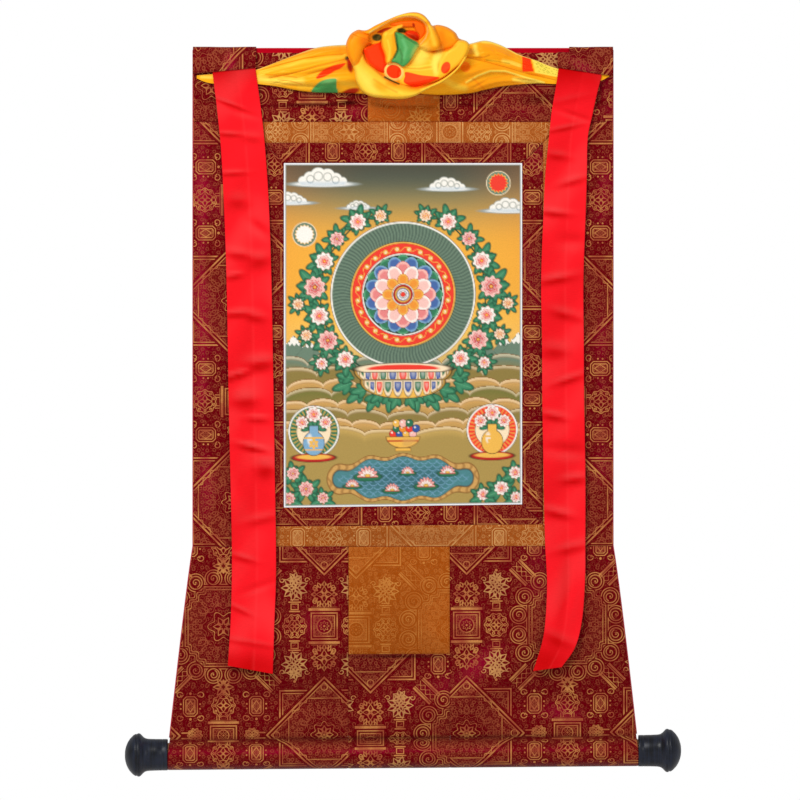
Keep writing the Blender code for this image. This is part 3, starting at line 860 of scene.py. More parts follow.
def satin(name, roughness, rib, tint):
    """Smooth silk or satin in the cloth's own dye with its painted shade and highlights, and a fine slanting
    weave.
    """
    finish = Finish(name, roughness, tint)
    across, down = finish.cloth_fields()
    dye_and_painted_light = finish.attribute("dye_and_painted_light", "Color")
    slubs = finish.noise(0.5, 2, (0.25, 3, 1))
    twill = ((across + down * 0.5) * (math.pi / rib)).sine()
    finish.colour(finish.tinted(dye_and_painted_light, slubs.ramp(0.3, 0.7, 0.95, 1.05) + twill * 0.015))
    finish.roughen(slubs.ramp(0.3, 0.7, roughness - 0.04, roughness + 0.05))
    finish.raise_up(twill * 0.012 + slubs * 0.06)
    return finish.material


def painted_canvas():
    """The painted canvas: its paint is the cloth's dye, over a fine plain weave."""
    finish = Finish("painted_canvas", 0.62, screen(255, 210, 150))
    across, down = finish.cloth_fields()
    dye_and_painted_light = finish.attribute("dye_and_painted_light", "Color")
    threads = weave(across, down, 0.55)
    grain = finish.noise(0.6, 3)
    finish.colour(finish.tinted(dye_and_painted_light, grain.ramp(0.25, 0.75, 0.93, 1.07) + threads * 0.03))
    finish.raise_up(threads * 0.04 + grain * 0.05)
    return finish.material


def lining_cloth():
    """Plain red cotton lining."""
    finish = Finish("lining_cotton", 0.7, Sheen_Weight=0.2)
    across, down = finish.cloth_fields()
    threads = weave(across, down, 0.8)
    slubs = finish.noise(0.18, 3, (0.3, 2, 1))
    soft = finish.noise(0.012, 1)
    red = finish.blend(soft.step(0.1, 0.9), screen(184, 28, 46), screen(194, 34, 54))
    finish.colour(finish.tinted(red, slubs.ramp(0.3, 0.7, 0.86, 1.12) + threads * 0.05))
    finish.raise_up(threads * 0.07 + slubs * 0.1)
    return finish.material


def lacquer():
    """The stave's red lacquer over wood."""
    finish = Finish("stave_lacquer", 0.4, screen(255, 60, 70), Coat_Weight=0.04, Coat_Roughness=0.2)
    finish.object_place()
    grain = finish.noise(900, 3, (0.02, 0.5, 1))
    red = finish.blend(grain.step(0.35, 0.65), screen(168, 0, 18), screen(190, 2, 30))
    finish.colour(red)
    finish.roughen(grain.ramp(0.3, 0.7, 0.26, 0.38))
    finish.raise_up(grain * 0.04)
    return finish.material


def turned_wood(name, painted_shade_behind, light, roughness, gloss):
    """Turned wood, stained and waxed, with rings left by the tool."""
    finish = Finish(name, roughness, Specular_IOR_Level=gloss, Coat_Weight=0.03, Coat_Roughness=0.25)
    finish.object_place()
    rings = finish.noise(700, 2, (1, 0.03, 0.03))
    patches = finish.noise(60, 2)
    stain = (rings * 0.5 + patches * 0.5).step(0.34, 0.66)
    finish.colour(finish.blend(stain, painted_shade_behind, light))
    finish.roughen(patches.ramp(0.3, 0.7, roughness - 0.08, roughness + 0.1))
    finish.raise_up(rings * 0.06)
    return finish.material


def pale_floor():
    finish = Finish("pale_floor", 0.8)
    finish.object_place()
    soft = finish.noise(3, 2)
    finish.colour(finish.blend(soft, screen(236, 236, 236), screen(244, 244, 244)))
    return finish.material


# ---------------------------------------------------------------- the mount

PANEL_STEP = 2.4
EDGE_STEPS = (0, 0.4, 1, 1.9, 3.2)
ROLL_DROP = 0.9
ROLL_REACH = 3.2
TURN_UNDER = 0.4

# Where the middle of the figuring's star falls: across, down, turned a quarter or not
FIGURE_AT = {
    "top_panel_left": (-118, -92, False),
    "top_panel_right": (150, 106, False),
    "top_door": (60, -98, False),
    "side_panel_left": (66.6, -218.4, True),
    "side_panel_right": (66.6, 218.4, True),
    "lower_panel_left": (-102.4, 891.8, False),
    "lower_panel_middle": (-42.3, 763.1, False),
    "lower_panel_right": (82.7, 891.6, False),
    "lower_door": (-61, 614.8, False),
    "gold_border_top": (-201.2, -31.8, False),
    "gold_border_bottom": (-225, 599, False),
    "gold_border_left": (30, -336, True),
    "gold_border_right": (30, 336, True),
    "maroon_border_top": (-179.7, 96, False),
    "maroon_border_bottom": (-111.5, 565, False),
    "maroon_border_left": (20, -206, True),
    "maroon_border_right": (20, 206, True),
    "corner_cap_left": (-266, 28, False),
    "corner_cap_right": (228, 30, False),
}

# Painted sheen (strength above 0) and painted shade (strength below 0, in creases, under the swag and caps,
# and towards the foot) on the brocade: across, down, half length, half width, turn, strength
PAINTED_SHEEN_AND_SHADE = (
    (-262, 210, 90, 9, 90, 0.7),
    (-262, 400, 120, 8, 90, 0.6),
    (-255, 560, 60, 12, 90, 0.5),
    (262, 180, 60, 10, 90, 0.5),
    (258, 420, 130, 9, 90, 0.4),
    (100, 800, 46, 22, -35, 0.9),
    (78, 745, 34, 22, 0, 0.8),
    (-118, 752, 34, 30, 0, 0.9),
    (-150, 700, 26, 40, 0, 0.3),
    (170, 705, 30, 40, 20, 0.5),
    (-250, 720, 20, 60, 0, 0.4),
    (10, 840, 60, 26, -20, 0.6),
    (190, 865, 50, 14, 0, 0.5),
    (-180, 862, 60, 14, 0, 0.4),
    (0, 913, 320, 4.4, 0, 0.8),
    (0, 810, 420, 130, 0, -0.35),
    (0, 937, 360, 5, 0, -0.5),
    (0, 633, 240, 16, 0, -0.26),
    (-6, 68, 46, 24, 0, 1.1),
    (-225, 20, 10, 24, 0, 0.9),
    (232, 24, 26, 10, 30, 0.8),
    (-65, 82, 12, 12, 0, 0.6),
    (-118, 74, 56, 2.8, -1.5, -0.8),
    (-69, 71, 13, 3.8, 0, -1.2),
    (-28, 75, 24, 2, 8, -0.9),
    (22, 77, 32, 2, 2, -0.7),
    (176, 66, 24, 8, -5, -0.55),
    (84, 73, 34, 3.4, 5, -0.5),
    (-232, 62, 30, 3.2, -14, -0.6),
    (238, 66, 26, 3.4, 12, -0.6),
    (-5, 790.5, 68, 2, 0, -0.7),
    (0, 896.5, 330, 2.6, 0, -0.6),
)

# Creases in the mount: across, down, half length, half width, turn, rise
MOUNT_CREASES = (
    (-118, 76, 60, 3.2, -1.5, -1.1),
    (-20, 72.5, 34, 2.6, 4, -1.3),
    (18, 81, 30, 3, 5, 0.8),
    (120, 77, 70, 3.4, -2, -0.9),
    (-230, 66, 26, 3, -16, -0.8),
    (236, 70, 24, 3.2, 14, -0.8),
    (-60, 90, 50, 2.6, 2, 0.5),
    (-262, 300, 60, 4, 84, -0.5),
    (262, 350, 80, 4, 93, -0.5),
    (-140, 700, 60, 5, 78, -0.7),
    (-90, 830, 60, 5, 96, 0.6),
    (110, 710, 60, 5, 94, -0.7),
    (60, 850, 40, 4, 82, 0.6),
    (240, 760, 70, 5, 100, -0.6),
    (-250, 780, 70, 5, 82, -0.6),
    (0, 893, 330, 3, 0, -0.3),
)


def stations(length):
    """Distances along a cut edge: close together at its rolled ends, even between them."""
    near = np.array(EDGE_STEPS)
    count = max(2, round((length - 2 * near[-1]) / PANEL_STEP))
    inner = np.linspace(near[-1], length - near[-1], count + 1)[1:-1]
    return np.concatenate([near, inner, (length - near)[::-1]])


def with_turned_edge(values):
    """Repeats a run of stations' ends, for the edge that is turned under."""
    return np.concatenate([values[:1], values, values[-1:]])


def roll(inside):
    """How far the cloth drops at its rolled edge, by the distance inside it."""
    return ROLL_DROP * (1 - smooth(inside / ROLL_REACH)) ** 2


def figured(name, across, down):
    """Where places of a piece lie on the figured cloth that it was cut from."""
    first, second, turned = FIGURE_AT[name]
    if turned:
        return np.stack(np.broadcast_arrays(down - first, across - second), -1)
    return np.stack(np.broadcast_arrays(across - first, down - second), -1)


def corners(left, right, top, bottom, lean=0):
    """A four-sided piece's corners, clockwise from the top left. Its bottom edge may lean."""
    return np.array(
        ((left, top), (right, top), (right, bottom - lean / 2), (left, bottom + lean / 2)), float
    )


def drawn_in(ends):
    """Corners of a four-sided piece, drawn in from its seams all round."""
    middle = ends.mean(0)
    drawn = []
    for i, end in enumerate(ends):
        normals = []
        for start, stop in ((ends[i - 1], end), (end, ends[(i + 1) % 4])):
            along = (stop - start) / np.linalg.norm(stop - start)
            normal = np.array((-along[1], along[0]))
            normals.append(normal if normal @ (middle - start) > 0 else -normal)
        shift = (normals[0] + normals[1]) / (1 + normals[0] @ normals[1])
        drawn.append(end + shift * SEAM_GAP / 2)
    return np.array(drawn)


def quarters(ends):
    """Places over a four-sided piece, how far inside its edges each lies, and its turned edge."""
    first, second, third, fourth = drawn_in(ends)
    length = np.linalg.norm(second - first)
    edge = (second - first) / length
    depth = abs(edge[0] * (fourth - first)[1] - edge[1] * (fourth - first)[0])
    along, deep = with_turned_edge(stations(length)), with_turned_edge(stations(depth))
    a, b = (along / length)[None, :, None], (deep / depth)[:, None, None]
    places = (first * (1 - a) + second * a) * (1 - b) + (fourth * (1 - a) + third * a) * b
    inside = np.minimum(
        np.minimum(along, length - along)[None, :], np.minimum(deep, depth - deep)[:, None]
    )
    under = np.zeros(inside.shape, bool)
    under[[0, -1], :] = True
    under[:, [0, -1]] = True
    return places[..., 0], places[..., 1], inside, under


def sewn_in(name, ends, finish):
    """A four-sided piece of the mount, its edges rolled where they are sewn."""
    across, down, inside, under = quarters(ends)
    out = panel_out(down) + PANEL_THICK / 2 - roll(inside) + dents(across, down, MOUNT_CREASES)
    turned_under = panel_out(down) - PANEL_THICK / 2 - TURN_UNDER * (1 - stave_relief(down))
    points = hang(across, down, np.where(under, turned_under, out))
    piece = cloth(name, points, figured(name, across, down), finish, painted_light=dents(across, down, PAINTED_SHEEN_AND_SHADE))
    settle(piece, name, (np.ptp(across) * MM, np.ptp(down) * MM))


def make_borders(finishes):
    """The gold and the maroon border round the painting, mitred at their corners."""
    frame_box = (-FRAME_HALF_WIDTH, FRAME_HALF_WIDTH, FRAME_TOP, FRAME_BOTTOM)
    gold_side, gold_top, gold_bottom = GOLD_WIDTHS
    maroon_side, maroon_top, maroon_bottom = MAROON_WIDTHS
    left, right = frame_box[0] + gold_side, frame_box[1] - gold_side
    top, bottom = frame_box[2] + gold_top, frame_box[3] - gold_bottom
    seams = corners(left, right, top, bottom, GOLD_LEAN)
    opening = corners(
        left + maroon_side, right - maroon_side, top + maroon_top, bottom - maroon_bottom, PAINTING_LEAN
    )
    for prefix, outer, inner in (("gold", corners(*frame_box), seams), ("maroon", seams, opening)):
        for side, word in enumerate(("top", "right", "bottom", "left")):
            after = (side + 1) % 4
            ends = np.array((outer[side], outer[after], inner[after], inner[side]))
            sewn_in(f"{prefix}_border_{word}", ends, finishes[prefix])
    return opening


def make_panels(finishes):
    """The flat panels and doors of the brocade mount."""
    width, inner = HALF_WIDTH + SEAM_GAP / 2, FRAME_HALF_WIDTH
    top = PANEL_TOP - SEAM_GAP / 2
    pieces = (
        ("top_panel_left", -width, TOP_DOOR[0], top, FRAME_TOP, "maroon"),
        ("top_door", *TOP_DOOR, top, FRAME_TOP, "gold"),
        ("top_panel_right", TOP_DOOR[1], width, top, FRAME_TOP, "maroon"),
        ("side_panel_left", -width, -inner, FRAME_TOP, FRAME_BOTTOM, "maroon"),
        ("side_panel_right", inner, width, FRAME_TOP, FRAME_BOTTOM, "maroon"),
        ("lower_door", *LOWER_DOOR, FRAME_BOTTOM, LOWER_DOOR_BOTTOM, "gold"),
    )
    for name, *box, colour in pieces:
        sewn_in(name, corners(*box), finishes[colour])


SLEEVE_RADIUS = ROLLER_RADIUS + PIECE_GAP + PANEL_THICK
SLEEVE_TURNS = (14, 342)
SLEEVE_ROWS = 56
# The cloth above the sleeve, drawn in by the stitch line: out, down
HEM_LEAD = ((1.25, 891.6), (1.05, 893.4), (0.9, 895), (0.95, 896.3), (1.7, 897.3), (3, 898.4))
# How much of a panel's turned edge is left where it winds round the roller
SLEEVE_EDGE = 0.3
# Cloth taken up in the seam above the sleeve, and the row of HEM_LEAD where that is
HEM_TUCK = 8
TUCK_ROW = 4
# How far a panel's sleeve stands from the seam with the next one
SEAM_SHOWN = 0.012


def hem_rows(top):
    """Rows of a lower panel: out, down, outward direction, and place along the cloth."""
    flat = with_turned_edge(stations(FLAT_ENDS - top) + top)[: -len(EDGE_STEPS)]
    rows = [(PANEL_OUT + PANEL_THICK / 2, down, 1, 0) for down in flat]
    rows += [(out, down, 1, 0) for out, down in HEM_LEAD]
    for step in range(SLEEVE_ROWS + 1):
        turn = math.radians(mix(*SLEEVE_TURNS, step / SLEEVE_ROWS))
        sine, cosine = math.sin(turn), math.cos(turn)
        rows.append((SLEEVE_RADIUS * sine, ROLLER_DOWN - SLEEVE_RADIUS * cosine, sine, -cosine))
    out, down, facing_out, facing_down = np.array(rows).T
    gone = np.concatenate([[0], np.cumsum(np.hypot(np.diff(out), np.diff(down)))]) + top
    gone[len(flat) + TUCK_ROW :] += HEM_TUCK
    return out, down, facing_out, facing_down, gone, len(flat)


def lower_panel(name, left, right, top, finish):
    """A lower panel with its hem round the roller. Its sides are functions of the distance down."""
    out, down, facing_out, facing_down, gone, flat_rows = hem_rows(top + SEAM_GAP / 2)
    width = right(FLARE_STARTS) - left(FLARE_STARTS)
    along = with_turned_edge(stations(width))
    across = left(down)[:, None] + (right(down) - left(down))[:, None] * (along / width)
    down_all = np.broadcast_to(down[:, None], across.shape)
    inside = np.minimum(along, width - along)[None, :] + 0 * down_all
    inside = np.minimum(inside, np.maximum(down_all - top, 0))
    flat = (np.arange(len(down)) < flat_rows)[:, None]
    drop = roll(inside)
    under = np.zeros(across.shape, bool)
    under[0, :] = True
    under[:, [0, -1]] = True
    drop = np.where(under, PANEL_THICK, drop) * np.where(flat, 1, SLEEVE_EDGE)
    hung = panel_out(down_all) + PANEL_THICK / 2 + dents(across, down_all, MOUNT_CREASES)
    places_out = np.where(flat, hung, out[:, None]) - drop * facing_out[:, None]
    places_down = down_all - drop * facing_down[:, None]
    draped = hang(across, places_down, places_out)
    wound = np.stack((across, -places_out, skewed(across, places_down)), -1) * MM
    points = np.where(flat[..., None], draped, wound)
    laid = figured(name, across, np.broadcast_to(gone[:, None], across.shape))
    painted_light = dents(across, np.where(facing_out[:, None] > -0.2, down_all, 0), PAINTED_SHEEN_AND_SHADE)
    piece = cloth(name, points, laid, finish, painted_light=painted_light)
    wide = max(right(ROLLER_DOWN) - left(ROLLER_DOWN), width)
    length = gone[-1] - top - HEM_TUCK
    area = length * (wide + width) / 2 * MM**2
    settle(piece, name, (wide * MM, length * MM))


def straight(across):
    """A side that stays at one place across, as a function of the distance down."""
    return lambda down: 0 * down + across


def make_lower_panels(finish):
    """The lower panel's three parts, side by side."""
    left, right = LOWER_DOOR
    parts = (
        ("left", lambda down: -half_width(down), straight(left - SEAM_SHOWN), FRAME_BOTTOM),
        ("middle", straight(left + SEAM_SHOWN), straight(right - SEAM_SHOWN), LOWER_DOOR_BOTTOM),
        ("right", straight(right + SEAM_SHOWN), half_width, FRAME_BOTTOM),
    )
    for word, *sides, top in parts:
        lower_panel(f"lower_panel_{word}", *sides, top, finish)


LINING_PROUD = 1.3
LINING_SHOWN_THICK = 0.8
LINING_STEP = 6
LINING_CREASES = (
    (-120, 300, 160, 9, 80, -0.9),
    (90, 420, 200, 10, 97, -0.8),
    (20, 160, 120, 8, 12, 0.7),
    (-60, 620, 140, 9, 102, -0.8),
    (170, 700, 120, 9, 76, 0.7),
)


def make_lining(finish):
    """The red lining, which shows as a thin line at the mount's edges."""
    rows = round((LINING_BOTTOM - LINING_TOP) / LINING_STEP)
    down = np.linspace(LINING_TOP, LINING_BOTTOM, rows)[:, None]
    share = np.linspace(-1, 1, round(2 * HALF_WIDTH / LINING_STEP))[None, :]
    across = share * (half_width(down) + LINING_PROUD)
    down = np.broadcast_to(down, across.shape)
    out = lining_out(down) + dents(across, down, LINING_CREASES)
    piece = cloth("lining", hang(across, down, out), np.stack((across, down), -1), finish)
    thicken(piece, LINING_SHOWN_THICK)
    wide, length = 2 * np.max(across) * MM, (LINING_BOTTOM - LINING_TOP) * MM
    settle(piece, "lining", (wide, length))


# ---------------------------------------------------------------- ribbons and caps

# The satin's red, its painted shade and its painted highlight.
RIBBON_RED = screen(252, 26, 36)
RIBBON_SHADE = screen(196, 0, 0)
RIBBON_HIGHLIGHT = screen(255, 92, 92)
RIBBON_THICK = 0.9
RIBBON_COLUMNS = 26
RIBBON_STEP = 2.4
RIBBON_SEAM_AT = 0.55
RIBBON_WRINKLED = 1.25
RIBBON_SLOPE_SHADE = 3.2

# across from the ribbon's left edge, down, half length, half width, turn, rise
LEFT_WRINKLES = (
    (14, 71, 24, 3, 22, -1.3),
    (34, 84, 18, 5, 14, 0.9),
    (12, 112, 16, 2.4, 3, -0.9),
    (42, 117, 14, 6, 5, -0.8),
    (12, 163, 18, 2.4, -3, -0.9),
    (20, 199, 14, 9, 0, -0.8),
    (44, 236, 16, 7, 40, 0.7),
    (20, 268, 22, 6, 10, -0.8),
    (44, 276, 16, 9, -20, -1),
    (10, 296, 12, 3, -10, -0.9),
    (12, 345, 18, 2.8, -4, -1),
    (36, 349, 14, 5, 10, -0.8),
    (42, 409, 18, 8, -6, -1.4),
    (12, 425, 16, 3.2, -16, -1.2),
    (22, 456, 18, 10, 0, -1),
    (38, 482, 14, 3, 2, -0.9),
    (30, 519, 20, 3, 12, -1.2),
    (46, 545, 14, 12, 0, -1.3),
    (12, 580, 12, 30, 0, 0.8),
    (40, 612, 22, 5, -12, -0.7),
    (14, 662, 18, 4, 16, -0.8),
    (36, 700, 22, 5, -20, 0.7),
    (10, 728, 16, 3.4, 24, -0.8),
    (28, 772, 40, 4, 10, -0.8),
)
RIGHT_WRINKLES = (
    (24, 66, 26, 5, -14, -1.2),
    (30, 88, 26, 4, 18, 0.9),
    (20, 104, 24, 3.4, -12, -1),
    (14, 140, 16, 5, 8, -0.8),
    (38, 172, 18, 5, -16, -0.9),
    (16, 214, 20, 4, 6, -0.9),
    (38, 252, 16, 9, 0, 0.8),
    (20, 300, 24, 5, -10, -1),
    (32, 346, 20, 6, 14, -0.8),
    (16, 392, 18, 9, 0, -0.9),
    (36, 430, 20, 4, -18, -1),
    (14, 478, 16, 4, 10, -0.9),
    (30, 524, 24, 8, 4, 0.8),
    (40, 560, 16, 5, -8, -1),
    (16, 604, 20, 5, 12, -0.9),
    (34, 650, 22, 6, -14, -0.9),
    (24, 700, 9, 46, 6, -1),
    (34, 716, 7, 40, 8, 0.8),
    (20, 770, 30, 7, 24, -0.9),
)


def ribbon(name, table, wrinkles, finish):
    """A satin ribbon with a sewn middle, from under its cap to its loose end."""
    rows = round((table[-1][1] - table[0][1]) / RIBBON_STEP)
    steps = np.linspace(0, len(table) - 1, rows)
    keyed = [(float(i), *row) for i, row in enumerate(table)]
    left, left_down, right, right_down, out = smooth_rows(keyed, steps).T[..., None]
    share = smooth(np.linspace(0, 1, RIBBON_COLUMNS)) * 0.35
    share = (share + np.linspace(0, 1, RIBBON_COLUMNS) * 0.65)[None, :]
    across, down = mix(left, right, share), mix(left_down, right_down, share)
    steps = steps[:, None]
    free = smooth((steps - 1.5) / 2)
    rolled = 0.35 * np.sin(math.pi * share + steps) * smooth(steps / 4)
    wrinkled = RIBBON_WRINKLED * dents(across - left, down, wrinkles) * free
    seam = 0.35 * np.exp(-(((share - RIBBON_SEAM_AT) / 0.014) ** 2)) * free
    hem = 0.25 * np.exp(-(((np.abs(share - 0.5) - 0.47) / 0.018) ** 2)) * free
    settled = out + rolled + 0.6 * smooth(steps / 3) + wrinkled + seam + hem
    points = hang(across, down, settled)
    # Painted shade darkens the red in the wrinkles' hollows, on slopes turned down from the light, just
    # below the cap, at the curled end and over the left half; painted highlights lighten slopes turned up to
    # the light and the seam. uneven adds patches of darker and paler tone.
    slope = np.gradient(wrinkled, axis=0) / RIBBON_STEP
    slope = np.clip(slope * RIBBON_SLOPE_SHADE, -0.7, 0.8)
    crease_shade = np.clip(-wrinkled * 0.34, 0, 0.6)
    end = smooth((steps - (len(table) - 2.4)) / 1.2)
    top = 1 - smooth((steps - 1) / 1.6)
    uneven = np.sin(down / 23 + 1.3 * np.sin(across / 17)) * np.sin(down / 61 + across / 40)
    shaded = crease_shade + np.maximum(slope, 0) + 0.62 * end + 0.8 * top + 0.12 * (share < RIBBON_SEAM_AT)
    shaded = np.clip(shaded + 0.22 * np.maximum(-uneven, 0), 0, 1)
    pale = np.clip(-slope * 0.4 + seam * 1.3 + 0.16 * np.maximum(uneven, 0) * (1 - end), 0, 0.5)
    dye_and_painted_light = mix(RIBBON_RED, RIBBON_SHADE, shaded[..., None])
    dye_and_painted_light = mix(dye_and_painted_light, RIBBON_HIGHLIGHT, pale[..., None])
    piece = cloth(name, points, np.stack((across - left, down), -1), finish, dye_and_painted_light)
    thicken(piece, RIBBON_THICK)
    wide = np.mean(right - left) * MM
    length = (table[-1][1] - table[0][1]) * MM
    settle(piece, name, (wide, length))


CAP_THICK = 1.1
CAP_COLUMNS = 44
CAP_ROWS = 46
CAP_LEAF_FROM = 5
CAP_PUCKERS = (
    (-212, 24, 12, 3, 64, 0.5),
    (-236, 20, 14, 3.4, 100, -0.5),
    (-256, 26, 12, 3, 74, 0.5),
    (222, 22, 12, 3, 50, 0.5),
    (240, 24, 14, 3.2, 96, -0.5),
    (258, 20, 12, 3, 84, 0.5),
)


def corner_cap(name, front_from, wrap_from, outer, inner_drop, outer_drop, finish):
    """A brocade cap folded over the stave's end, down over the ribbon's top."""
    path = [(float(i), *row) for i, row in enumerate((*CAP_OVER, (CAP_OVER[-1][0], inner_drop)))]
    places = smooth_rows(path, np.linspace(0, len(path) - 1, CAP_ROWS))
    share = np.linspace(0, 1, CAP_COLUMNS)[None, :]
    across = mix(front_from, outer, share) + 0 * places[:, :1]
    front = smooth((places[:, :1] + 2) / 8)
    stretch = 1 + front * (mix(inner_drop, outer_drop, share) / inner_drop - 1)
    down = np.where(places[:, 1:] > 0, places[:, 1:] * stretch, places[:, 1:])
    out = places[:, :1] + dents(across, down, CAP_PUCKERS) * front
    dip = 0.7 * np.sin(np.pi * np.clip((share - 0.1) / 0.7, 0, 1)) ** 2
    dip = dip * np.exp(-((places[:, 1:] / 4) ** 2))
    points = np.stack((across, -out, -(down + dip * 0.6)), -1) * MM
    if front_from != wrap_from:
        inner = np.abs(across) < abs(wrap_from)
        first = np.argmax((places[:, 0] > 0) & (places[:, 1] > CAP_LEAF_FROM))
        points[:first][inner[:first]] = np.nan
    gone = np.cumsum(np.hypot(*np.diff(places, axis=0, prepend=places[:1]).T))[:, None]
    laid = figured(name, across, np.broadcast_to(gone, across.shape))
    painted_light = dents(across, down, PAINTED_SHEEN_AND_SHADE)
    order = slice(None, None, 1 if outer > front_from else -1)
    piece = cloth(name, points[:, order], laid[:, order], finish, painted_light=painted_light[:, order])
    drop_missing(piece)
    thicken(piece, CAP_THICK)
    wide = abs(outer - front_from) * MM
    settle(piece, name, (wide, gone[-1, 0] * MM))


def drop_missing(piece):
    """Removes a sheet's points that were given no place."""
    work = bmesh.new()
    work.from_mesh(piece.data)
    bmesh.ops.delete(work, geom=[v for v in work.verts if v.co.x != v.co.x], context="VERTS")
    work.to_mesh(piece.data)
    work.free()


# ---------------------------------------------------------------- colours laid over places

def gap_to(x, y, points):
    """Distance from a line through points."""
    nearest = np.full(x.shape, np.inf)
    for (x0, y0), (x1, y1) in zip(points, points[1:]):
        along = ((x - x0) * (x1 - x0) + (y - y0) * (y1 - y0)) / ((x1 - x0) ** 2 + (y1 - y0) ** 2)
        along = np.clip(along, 0, 1)
        nearest = np.minimum(nearest, np.hypot(x - x0 - along * (x1 - x0), y - y0 - along * (y1 - y0)))
    return nearest


def creased(x, y, lines):
    """Troughs and ridges of a cloth along lines: rise, half width, then the line's points."""
    raised = np.zeros(x.shape)
    for rise, half, *points in lines:
        raised += rise * np.exp(-((gap_to(x, y, points) / half) ** 2))
    return raised


def within(x, y, ends):
    """How far inside a polygon each place lies, below 0 outside it."""
    nearest = gap_to(x, y, (*ends, ends[0]))
    inside = np.zeros(x.shape, bool)
    for (x0, y0), (x1, y1) in zip(ends, (*ends[1:], ends[0])):
        if y1 != y0:
            inside ^= ((y0 > y) != (y1 > y)) & (x < (x1 - x0) * (y - y0) / (y1 - y0) + x0)
    return np.where(inside, nearest, -nearest)


def oval(x, y, at_x, at_y, half_x, half_y, turn=0):
    """How far inside an oval each place lies, below 0 outside it."""
    cosine, sine = math.cos(math.radians(turn)), math.sin(math.radians(turn))
    along = ((x - at_x) * cosine + (y - at_y) * sine) / half_x
    aside = ((y - at_y) * cosine - (x - at_x) * sine) / half_y
    return (1 - np.hypot(along, aside)) * min(half_x, half_y)


class Paint:
    """Colours over places given by two arrays of coordinates, later ones over earlier ones."""

    def __init__(self, x, y, ground):
        self.x = x
        self.y = y
        self.colour = np.zeros((*x.shape, 3)) + ground

    def lay(self, inside, colour, edge=0.6, strength=1):
        """Lays a colour where inside is above 0; edge is how softly it ends."""
        share = smooth(0.5 + inside / (2 * edge)) * strength
        self.colour += (colour - self.colour) * share[..., None]

    def shape(self, inside, fill, line=None, width=0.8):
        """A filled shape, with a line round it where one is asked for."""
        if line is not None:
            self.lay(inside + width, line)
        self.lay(inside, fill)

    def trace(self, points, half, colour, strength=1, edge=0.5):
        """A line of this half width through points."""
        self.lay(half - gap_to(self.x, self.y, points), colour, edge, strength)

    def streaks(self, table):
        """Soft streaks: colour, half width, softness, strength, points."""
        for colour, half, soft, strength, points in table:
            self.trace(points, half, colour, strength, soft)

    def oval(self, *where):
        return oval(self.x, self.y, *where)


# ---------------------------------------------------------------- the veil

SILK = screen(253, 172, 20)
SILK_PALE = screen(255, 222, 84)
SILK_RED = screen(250, 46, 6)
SILK_DARK_RED = screen(176, 16, 4)
SILK_GREEN = screen(64, 156, 84)
SILK_DARK_GREEN = screen(34, 104, 52)
# Near-black: painted shadow in the hollows, and a dark line on the rosette.
SILK_NEAR_BLACK = screen(52, 44, 10)
# Pale rim colour: the printed ring of the disc, and painted highlights on ridges and edges.
SILK_RIM_AND_HIGHLIGHT = screen(255, 214, 110)
SILK_PALE_GREEN = screen(120, 186, 110)
SPECKLE_GREEN = screen(176, 166, 44)
ORANGE = screen(255, 150, 14)
DEEP_ORANGE = screen(238, 112, 6)
WARM = screen(255, 158, 14)
LEMON = screen(255, 204, 58)
BRIGHT = screen(255, 226, 90)
# Painted shade along the swag's creases.
SILK_CREASE_SHADE = screen(204, 98, 6)
VEIL_THICK = 0.7
# Cut sizes in metres: the swag, and the cloth gathered up into the rosette
SWAG_FLAT = (0.58, 0.06)
ROSETTE_FLAT = (0.42, 0.085)

LEFT_GREEN = ((-119, 56), (-111.9, 47.6), (-102.2, 42.4), (-87, 41), (-86.6, 50), (-87, 60), (-116, 60))
LEFT_RED = (
    (-113, 40.6), (-107.4, 32.4), (-100.2, 27.4), (-88.5, 23.4), (-74, 20.6), (-80.7, 27.2),
    (-88.5, 30.6), (-95.3, 35), (-105, 39.6),
)
RIGHT_BAND = ((154.1, 9.1), (164.5, 10.4), (169.7, 31.2), (155.3, 31.2))
SPECKLED = ((166.4, 9.7), (204.2, 24.7), (202.2, 38.4), (171.6, 32.5))


def veil_colours(across, down):
    """The silk's dyed colours, with painted highlights and painted shade along its folds, by where they lie
    seen from the front.
    """
    paint = Paint(across, down, SILK)
    paint.streaks(SWAG_STREAKS)
    paint.shape(within(across, down, curve(LEFT_GREEN)), SILK_GREEN)
    # Painted highlight along the green patch's top and painted shade along its foot.
    paint.lay(paint.oval(-96, 44, 9, 2.6, -12), SILK_PALE_GREEN, 2, 0.7)
    paint.lay(paint.oval(-96, 55, 12, 4), SILK_DARK_GREEN, 3, 0.6)
    paint.shape(within(across, down, curve(LEFT_RED)), SILK_RED)
    paint.shape(within(across, down, RIGHT_BAND), SILK_RED)
    speckled = within(across, down, SPECKLED)
    paint.lay(speckled, SILK_PALE)
    speckles = np.sin(across * 1.1 + 1.4 * np.sin(down * 0.8))
    speckles = speckles * np.sin(down * 1.2 + 1.1 * np.sin(across * 0.7))
    paint.lay(np.minimum(speckled - 2, speckles * 2 - 0.8), SPECKLE_GREEN, 0.9, 0.8)
    paint.shape(paint.oval(81, 25.6, 6.2, 7), mix(SILK, SILK_RED, 0.55))
    # Painted shadow: a near-black spot where the swag runs in under the rosette.
    paint.lay(paint.oval(-71.5, 15, 4, 3, 30), SILK_NEAR_BLACK, 1.2)
    paint.lay(paint.oval(-69, 24, 3.4, 9, -12), SILK_DARK_RED, 1.2)
    paint.lay(paint.oval(-68, 57, 12, 4, -14), SILK_DARK_RED, 1.2)
    return paint


SWAG_GRID = (330, 72)
LEFT_CREASE = ((-174.3, 39.6), (-147, 34.2), (-127.5, 29.9), (-111.9, 25), (-96.3, 21.1), (-73.9, 15.3))
RIGHT_RIDGE = ((81.8, 45.5), (97.4, 36.7), (113, 30.8), (132.5, 30.8), (161.7, 39.6), (183.2, 45.1))
